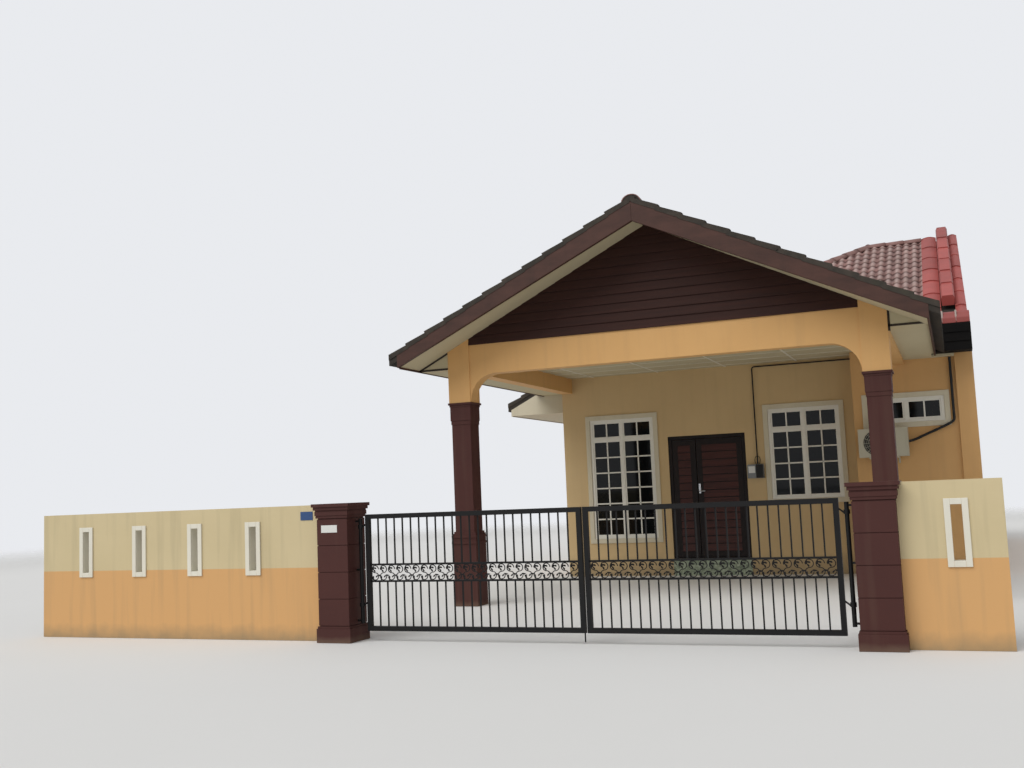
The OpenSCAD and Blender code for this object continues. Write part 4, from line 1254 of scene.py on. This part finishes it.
@dataclass
class Window:
    """One window unit: sashes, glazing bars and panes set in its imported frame."""

    node: str
    lights: int
    rows: int
    top_row: bool = True
    band: float = 0.080
    proud: float = 0.020
    frame_w: float = 0.045
    frame_d: float = 0.060
    top_h: float = 0.330
    sash: float = 0.026
    bar_w: float = 0.024
    step: float = 0.010
    bar_step: float = 0.004
    glass: float = 0.027
    glass_t: float = 0.003
    rebate: float = 0.002

    def place(self) -> tuple[Matrix, float, float]:
        """Finds the unit in its wall.

        Returns:
            Matrix from (along, out of the wall, up) at the band's lower corner, then clear
            width and height inside the band.
        """
        low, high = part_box(self.node)
        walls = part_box("side_wall")
        if high.x - low.x < high.y - low.y:
            turn, base = Matrix(((0, 1, 0), (-1, 0, 0), (0, 0, 1))), (low.x, high.y, low.z)
        elif low.y > (walls[0].y + walls[1].y) / 2:
            turn, base = Matrix(((-1, 0, 0), (0, -1, 0), (0, 0, 1))), (high.x, high.y, low.z)
        else:
            turn, base = Matrix.Identity(3), low
        width = max(high.x - low.x, high.y - low.y)
        return (Matrix.Translation(base) @ turn.to_4x4(), width - 2 * self.band,
                high.z - low.z - 2 * self.band)

    def ring(self, low: Flat, high: Flat, wide: float, near: float, far: float) -> Draft:
        """Starts a draft with a mitred rectangular ring.

        Args:
            low: outer lower corner as (along, up).
            high: outer upper corner.
            wide: width of the ring's limbs.
            near: front face.
            far: rear face.

        Returns:
            The draft.
        """
        loops = []
        for edge, y in ((0.0, near), (wide, near), (wide, far), (0.0, far)):
            x0, z0, x1, z1 = low[0] + edge, low[1] + edge, high[0] - edge, high[1] - edge
            loops.append([(x0, y, z0), (x1, y, z0), (x1, y, z1), (x0, y, z1)])
        return Draft().loft(loops, ring=True)

    def dress(self) -> None:
        """Builds band, frame, sashes with bars, and panes behind them."""
        place, wide, tall = self.place()
        b, f, g, h, out = self.band, self.frame_w, self.sash, self.bar_w / 2, self.proud
        light = (wide - f) / self.lights
        near, back, bar = out + self.step, out + self.glass, out + self.step + self.bar_step
        far, r = back - self.glass_t, self.rebate
        plaster = self.ring((0.0, 0.0), (wide + 2 * b, tall + 2 * b), b, 0.0, out - HAIR)
        metal = self.ring((b, b), (b + wide, b + tall), f, out, out + self.frame_d)
        bars, panes = Draft(), Draft()
        for i in range(1, self.lights):
            x = b + i * light
            metal.box((x, out + 0.001, b + f), (x + f, out + self.frame_d - 0.001, b + tall - f))
        low, high = b + f, b + tall - f
        tiers = [(low, high, self.rows)]
        if self.top_row:
            rail = high - self.top_h
            metal.box((low, out + 0.002, rail), (b + wide - f, out + self.frame_d - 0.002,
                                                 rail + f))
            tiers = [(low, rail, self.rows), (rail + f, high, 1)]
        for i in range(self.lights):
            x0 = b + f + i * light
            x1 = x0 + light - f
            mid = (x0 + x1) / 2
            for z0, z1, rows in tiers:
                bars.rim((x0, z0), (x1, z1), g, near, far)
                bars.box((mid - h, bar, z0 + g), (mid + h, far, z1 - g))
                for row in range(1, rows):
                    z = z0 + g + row * (z1 - z0 - 2 * g) / rows
                    bars.box((x0 + g, bar, z - h), (x1 - g, far, z + h))
                panes.box((x0 + r, far, z0 + r), (x1 - r, back + HAIR, z1 - r))
        for draft, part, finish, bevel in ((plaster, "_band", BAND, 0.004),
                                           (metal, "_frame", FRAME_WHITE, 0.002),
                                           (bars, "_sashes", FRAME_WHITE, 0.003),
                                           (panes, "_panes", PANE, 0.0)):
            outer = part == "_band"
            draft.turned(place).piece(self.node + part, finish, bevel,
                                      replaces=[self.node] if outer else (),
                                      slot="white_paint" if outer else "white_frame")


@dataclass
class FrontDoor:
    """Two slatted leaves, their frame, pull plate and lever."""

    slat_gauge: float = 0.133
    slat_out: float = 0.013
    stile: float = 0.095
    meeting: float = 0.011
    handle_x: float = 0.030
    plate_w: float = 0.034
    plate: Flat = (1.40, 1.57)
    lever_z: float = 1.44
    lever_out: float = 0.050
    lever_run: float = 0.100

    def slats(self, node: str) -> None:
        """Fills the recessed field of a leaf with sloping slats.

        Args:
            node: the door leaf.
        """
        low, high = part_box(node)
        x0, x1, out = low.x + self.stile, high.x - self.stile, -self.slat_out
        if node.endswith("left"):
            x0 += self.meeting
        else:
            x1 -= self.meeting
        field = high.z - low.z - 2 * self.stile
        count = round(field / self.slat_gauge)
        step = field / count
        unit = Draft().bar([(0.0, 0.0), (out, 0.004), (out, 0.012), (-0.002, step - 0.014),
                            (0.0, step - 0.012)], LAID, x1 - x0).unit(node + "_slat")
        place = Matrix.Translation((x0, low.y + 0.010, low.z + self.stile + 0.004)) @ TO_STREET
        made = REPEAT.repeat(node + "_slats", unit, (1, count), (1.0, step), HARDWOOD, place)
        clothe(made, HARDWOOD, node)

    def dress(self) -> None:
        """Finishes the leaves and adds slats and handle."""
        leaves = ("door_leaf_left", "door_leaf_right")
        finish_node(DOOR_EDGE, "door_frame", *leaves)
        finish_node(SIDE_DOOR, "side_door")
        finish_node(RISER, "door_step")
        finish_node(FLOOR, "floor_slab")
        for node in leaves:
            self.slats(node)
        leaf = leaves[1]
        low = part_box(leaf)[0]
        x, half, tip = low.x + self.handle_x, self.plate_w / 2, low.y - self.lever_out
        Draft().box((x - half, low.y - 0.004, self.plate[0]),
                    (x + half, low.y + SEAM, self.plate[1])).piece(
            "pull_plate", CHROME, 0.002, leaf, slot="door_wood")
        path = rounded([Vector((x, low.y - 0.002, self.lever_z)), Vector((x, tip, self.lever_z)),
                        Vector((x + self.lever_run, tip, self.lever_z))], 0.016)
        clothe(tube("door_lever", path, 0.009), CHROME, leaf)


@dataclass
class Porch:
    """Boarded gable, columns, beams and the battened ceiling."""

    board: float = 0.125
    board_t: float = 0.020
    head: float = 0.330
    batten: float = 0.030
    sheet_w: float = 1.200
    sheet_d: float = 0.600
    first: Flat = (0.400, 0.100)

    def boarding(self) -> None:
        """Laps weatherboards up the gable and cuts them to the slopes and column heads."""
        low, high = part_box("gable_boarding")
        out, top = -self.board_t, self.board - 0.002
        unit = Draft().bar([(0.0, 0.0), (out, 0.0), (out, 0.012), (-0.004, top), (0.0, top)],
                           LAID, high.x - low.x).unit("weatherboard_unit")
        place = Matrix.Translation((low.x, low.y + HAIR, low.z)) @ TO_STREET
        made = REPEAT.repeat("gable_weatherboards", unit,
                             (1, int((high.z - low.z) / self.board) + 1), (1.0, self.board),
                             GABLE, place, seed=9)
        peak = ((low.x + high.x) / 2, 0, high.z)
        slopes = [(peak, (side * math.sin(SITE.pitch), 0, math.cos(SITE.pitch)))
                  for side in (-1, 1)]
        heads = [((low.x + self.head, 0, 0), (-1, 0, 0)), ((high.x - self.head, 0, 0), (1, 0, 0))]
        trim(made, slopes + heads)
        clothe(made, GABLE)
        finish_node(GABLE, "gable_boarding")

    def ceiling(self) -> None:
        """Covers the joints of the ceiling sheets with thin battens."""
        low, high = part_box("porch_ceiling")
        bay, wide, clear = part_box("bay_wall")[0], self.batten, 0.002
        z0, z1 = low.z - 0.006, low.z - HAIR
        draft = Draft()
        x, y = low.x + self.first[0], low.y + self.first[1]
        while x < high.x:
            end = high.y if x < bay.x - wide else bay.y
            draft.box((x, low.y + clear, z0), (x + wide, end - clear, z1))
            x += self.sheet_w
        while y < high.y - wide:
            end = high.x if y < bay.y - wide else bay.x
            draft.box((low.x + clear, y, z0 + SEAM), (end - clear, y + wide, z1))
            y += self.sheet_d
        draft.piece("ceiling_battens", TRIM, slot="soffit_sheet")

    def dress(self) -> None:
        """Finishes columns and beams, and makes boards and battens."""
        finish_node(MAROON, "porch_column_left", "porch_column_right")
        finish_node(BEAM, "porch_beam_front", "porch_beam_left", "porch_beam_right")
        self.boarding()
        self.ceiling()


def circle(radius: float, count: int) -> list[Flat]:
    """Points round a circle."""
    return [(radius * math.cos(2 * math.pi * i / count),
             radius * math.sin(2 * math.pi * i / count)) for i in range(count)]


@dataclass
class Walls:
    """Painted walls and what hangs on them."""

    guard: tuple[float, ...] = (0.055, 0.085, 0.115, 0.145, 0.175, 0.195)
    guard_bars: int = 8
    wire: float = 0.004
    fan: float = 0.200
    fan_x: float = 0.270
    fan_h: float = 0.440
    pipe: float = 0.020
    pipe_top: float = 3.360
    conduit: float = 0.011

    def meter(self) -> None:
        """Adds the meter's window and switch cover, and the conduit up to the ceiling."""
        low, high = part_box("meter_box")
        finish_node(GREY_CASING, "meter_box")
        Draft().box((low.x + 0.02, low.y - 0.004, low.z + 0.09),
                    (low.x + 0.13, low.y + SEAM, high.z - 0.03)).piece(
            "meter_window", PLATE_WHITE, 0.002, slot="grey_plastic")
        Draft().box((low.x + 0.145, low.y - 0.012, low.z + 0.004),
                    (high.x - 0.004, low.y + SEAM, high.z - 0.004)).piece(
            "switch_cover", RUBBER, 0.004, slot="grey_plastic")
        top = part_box("porch_ceiling")[0].z - 0.05
        x, y = low.x + 0.17, low.y + 0.060
        line = tube("meter_conduit", rounded(
            [Vector((x, y, high.z - 0.01)), Vector((x, y, top)),
             Vector((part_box("bay_wall")[0].x - 0.03, y, top))], 0.05), self.conduit)
        side = [(0.012, -0.010), (0.040, 0.030), (0.046, 0.080), (0.032, 0.125)]
        bend = [(-u, v) for u, v in side[:3]] + [(-0.030, 0.125), (0.0, 0.145)] + side[::-1]
        loop = tube("meter_wire_loop", [Vector((x + u, y, high.z + v)) for u, v in bend], 0.005)
        clothe(merged("meter_conduit_and_loop", [line, loop]), RUBBER)

    def cooler(self) -> None:
        """Adds fan guard and fan opening of the outdoor unit, and its lagged pipe."""
        low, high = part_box("ac_unit")
        finish_node(CASING, "ac_unit")
        foot, w = high.z - self.fan_h, self.wire
        centre = Vector((low.x + self.fan_x, low.y - 0.002, (foot + high.z) / 2))
        guard, reach = Draft(), self.guard[-1] + SEAM
        for r in self.guard:
            guard.loft([[(centre.x + u, centre.y + out, centre.z + v)
                         for u, v in circle(r + wide, 36)]
                        for wide, out in ((0, w), (w, w), (w, SEAM - w), (0, SEAM - w))],
                       ring=True)
        for k in range(self.guard_bars):
            turn = Matrix.Rotation(k * math.pi / self.guard_bars, 4, "Y")
            guard.bar(rect(-reach, -0.002, reach, 0.001), Matrix.Translation(centre) @ turn
                      @ Matrix.Translation((0, 0, -w / 2)), w)
        guard.piece("fan_guard", CASING, slot="beige_plastic")
        place = Matrix.Translation((centre.x, low.y - 0.0008, centre.z)) @ TO_REAR
        Draft().bar(circle(self.fan, 48), place, 0.002).piece("fan_opening", RUBBER,
                                                              slot="beige_plastic")
        wall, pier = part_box("bay_wall")[0].y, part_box("party_wall")[0].x - 0.05
        sill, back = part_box("window_bay")[0].z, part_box("bay_wall")[0].y - 0.045
        path = rounded([Vector((high.x - 0.01, wall - 0.10, foot + 0.23)),
                        Vector((high.x + 0.06, wall - 0.06, foot + 0.24)),
                        Vector((pier - 0.16, back, sill - 0.01)),
                        Vector((pier - 0.02, back, sill + 0.06)),
                        Vector((pier - 0.02, back, self.pipe_top))], 0.05)
        clothe(tube("lagged_pipe", path, self.pipe), RUBBER)

    def dress(self) -> None:
        """Paints the walls and adds meter, outdoor unit and their lines."""
        finish_node(CREAM, "front_wall_left", "front_wall_right", "front_wall_over_door")
        finish_node(ORANGE, "bay_wall", "side_wall", "rear_wall", "party_wall")
        self.meter()
        self.cooler()


@dataclass
class Frontage:
    """Gate pillars, boundary walls with framed slots, gate leaves."""

    slots_left: int = 4
    slot_first: float = 0.940
    slot_gauge: float = 0.817
    slot_w: float = 0.100
    slot_h: float = 0.500
    slot_z: float = 0.775
    rim: float = 0.050
    cover: float = 0.002
    deep: float = 0.014
    tube: float = 0.050
    bays: int = 24
    hinge: float = 0.099
    leaf_y: float = -8.157
    scroll_z: float = 0.730
    curl: float = 0.034
    curl_t: float = 0.006
    cap: float = 0.045

    def slot_trims(self, name: str, node: str, centres: Sequence[float]) -> None:
        """Frames the slots of a boundary wall on both faces and lines them.

        Args:
            name: name of the piece with the frames.
            node: the wall.
            centres: X of each slot.
        """
        low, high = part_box(node)
        frames, linings = Draft(), Draft()
        cover, deep, z0, z1 = self.cover, self.deep, self.slot_z, self.slot_z + self.slot_h
        for x in centres:
            x0, x1 = x - self.slot_w / 2, x + self.slot_w / 2
            for draft, out, near, far in (
                    (frames, self.rim + cover, low.y - cover, low.y + deep),
                    (frames, self.rim + cover, high.y - deep, high.y + cover),
                    (linings, SEAM, low.y + deep, high.y - deep)):
                draft.rim((x0 - out, z0 - out), (x1 + out, z1 + out), out + cover, near, far)
        frames.piece(name, TRIM, 0.003, slot="white_paint")
        linings.piece(name + "_linings", TRIM, slot="white_paint")

    def scroll_leaves(self) -> None:
        """Fills the scroll band of both gate leaves with small curled leaves."""
        draft, n = Draft(), 8
        for dx, dz, turn, size in ((0.012, 0.030, 0.7, 1.25), (0.030, -0.034, -2.3, 1.25),
                                   (0.060, 0.040, 2.2, 1.10), (0.078, -0.018, -0.8, 1.15),
                                   (0.044, 0.004, 1.5, 1.0), (0.052, -0.046, 0.2, 0.9)):
            spine = [(self.curl * size * i / n, 0.55 * self.curl * (size * i / n) ** 2,
                      0.010 * size * math.sin(math.pi * i / n) ** 0.8) for i in range(n + 1)]
            outline = ([(x, y + w) for x, y, w in spine]
                       + [(x, y - w) for x, y, w in spine[-2:0:-1]])
            draft.bar(outline, TO_REAR @ Matrix.Translation((dx, dz, -self.curl_t / 2))
                      @ Matrix.Rotation(turn, 4, "Z"), self.curl_t)
        unit = draft.unit("scroll_leaf_unit")
        for node in ("gate_leaf_left", "gate_leaf_right"):
            low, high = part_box(node)
            left = low.x + self.tube + (self.hinge if node.endswith("left") else 0.0)
            step = (high.x - low.x - self.hinge - 2 * self.tube) / self.bays
            place = Matrix.Translation((left, SITE.at(0, self.leaf_y, 0).y, self.scroll_z))
            made = REPEAT.repeat(node + "_scroll_leaves", unit, (self.bays, 1), (step, 1.0),
                                 STEEL, place, seed=5)
            clothe(made, STEEL, node)

    def dress(self) -> None:
        """Finishes the frontage and adds slot frames and blank plates."""
        finish_node(MAROON, "gate_pillar_left", "gate_pillar_right")
        finish_node(FENCE, "boundary_wall_left", "boundary_wall_right")
        finish_node(STEEL, "hinge_post_left", "hinge_post_right", "gate_leaf_left",
                    "gate_leaf_right")
        self.scroll_leaves()
        low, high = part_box("gate_pillar_left")
        first = low.x + self.cap - self.slot_first
        self.slot_trims("slot_frames_left", "boundary_wall_left",
                        [first - i * self.slot_gauge for i in range(self.slots_left)])
        a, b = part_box("boundary_wall_right")
        self.slot_trims("slot_frame_right", "boundary_wall_right",
                        [(a.x + b.x) / 2 + self.slot_w / 2])
        face, mid = low.y + self.cap, (low.x + high.x) / 2
        Draft().box((mid - 0.135, face - 0.004, 1.185), (mid + 0.065, face + SEAM, 1.265)).piece(
            "blank_plate_white", PLATE_WHITE, 0.001, slot="white_paint")
        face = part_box("boundary_wall_left")[0].y + 0.015
        Draft().box((low.x - 0.25, face - 0.005, 1.325),
                    (low.x - 0.09, face + SEAM, 1.420)).piece(
            "blank_plate_blue", PLATE_BLUE, 0.001, slot="white_paint")


@dataclass
class Studio:
    """Pale floor, soft lamps and the camera at the photo's angle."""

    eye: Point = (6.576, -18.570, 1.522)
    yaw: float = math.radians(22.146)
    tilt: float = math.radians(5.834)
    roll: float = math.radians(-2.366)
    lens: float = 37.858
    size: float = 90.0
    key: float = 1.95
    fill: float = 0.15

    def floor(self) -> None:
        """Lays the pale floor, just under the house."""
        s = self.size / 2
        obj = Draft().box((-s, -s, -0.05), (s, s, -0.002)).end("studio_floor")
        obj.data.materials.append(PALE_FLOOR.build())

    def lamps(self) -> None:
        """Sets an even sky and two broad, even lamps."""
        world = bpy.data.worlds.new("soft_sky")
        bpy.context.scene.world = world
        world.use_nodes = True
        tree = world.node_tree
        tree.nodes.clear()
        rays = add(tree, "ShaderNodeLightPath").outputs
        seen = calc(tree, "MAXIMUM", rays["Is Camera Ray"], rays["Is Glossy Ray"])
        sky = add(tree, "ShaderNodeBackground", {"Color": linear("#F4F6FA"),
                                                 "Strength": span(tree, seen, 0, 1, 0.48, 0.90)})
        add(tree, "ShaderNodeOutputWorld", {0: sky})
        for name, energy, spread, come in (("lamp_key", self.key, 50.0, (-6.0, -13.0, 16.0)),
                                           ("lamp_fill", self.fill, 70.0, (13.0, -16.0, 9.0))):
            data = bpy.data.lights.new(name, "SUN")
            data.energy, data.angle = energy, math.radians(spread)
            show(name, data).rotation_euler = Vector(come).to_track_quat("Z", "Y").to_euler()

    def camera(self) -> None:
        """Stands the camera where the photo was taken from."""
        (cy, cp, cr), (sy, sp, sr) = ([way(angle) for angle in (self.yaw, self.tilt, self.roll)]
                                      for way in (math.cos, math.sin))
        ahead, level = Vector((-sy * cp, cy * cp, sp)), Vector((cy, sy, 0.0))
        upright = level.cross(ahead)
        data = bpy.data.cameras.new("photo_camera")
        data.lens, data.sensor_width, data.sensor_fit = self.lens, 36.0, "HORIZONTAL"
        data.clip_end = 400.0
        cam = show("photo_camera", data)
        cam.matrix_world = framed(level * cr + upright * sr, upright * cr - level * sr, -ahead,
                                  SITE.at(*self.eye))
        bpy.context.scene.camera = cam

    def set_up(self) -> None:
        """Builds floor, lamps and camera."""
        self.camera()
        self.floor()
        self.lamps()
        bpy.context.scene.view_settings.view_transform = "Standard"


def windows() -> list[Window]:
    """Lists the window units with their lights and rows."""
    return [Window("window_front_left", 2, 6), Window("window_front_right", 2, 4),
            Window("window_bay", 2, 1, top_row=False), Window("window_bedroom", 2, 4),
            Window("window_kitchen", 3, 4), Window("window_rear", 3, 4)]


def main() -> None:
    """Builds the looks of the bungalow piece by piece."""
    logging.basicConfig(level=logging.INFO, format="%(name)s %(message)s")
    Studio().set_up()
    Walls().dress()
    for window in windows():
        window.dress()
    FrontDoor().dress()
    Porch().dress()
    TiledRoof().dress()
    BoxedEaves().dress()
    Frontage().dress()
    drop_units()
    log.info("sizes written")


if __name__ == "__main__":
    main()
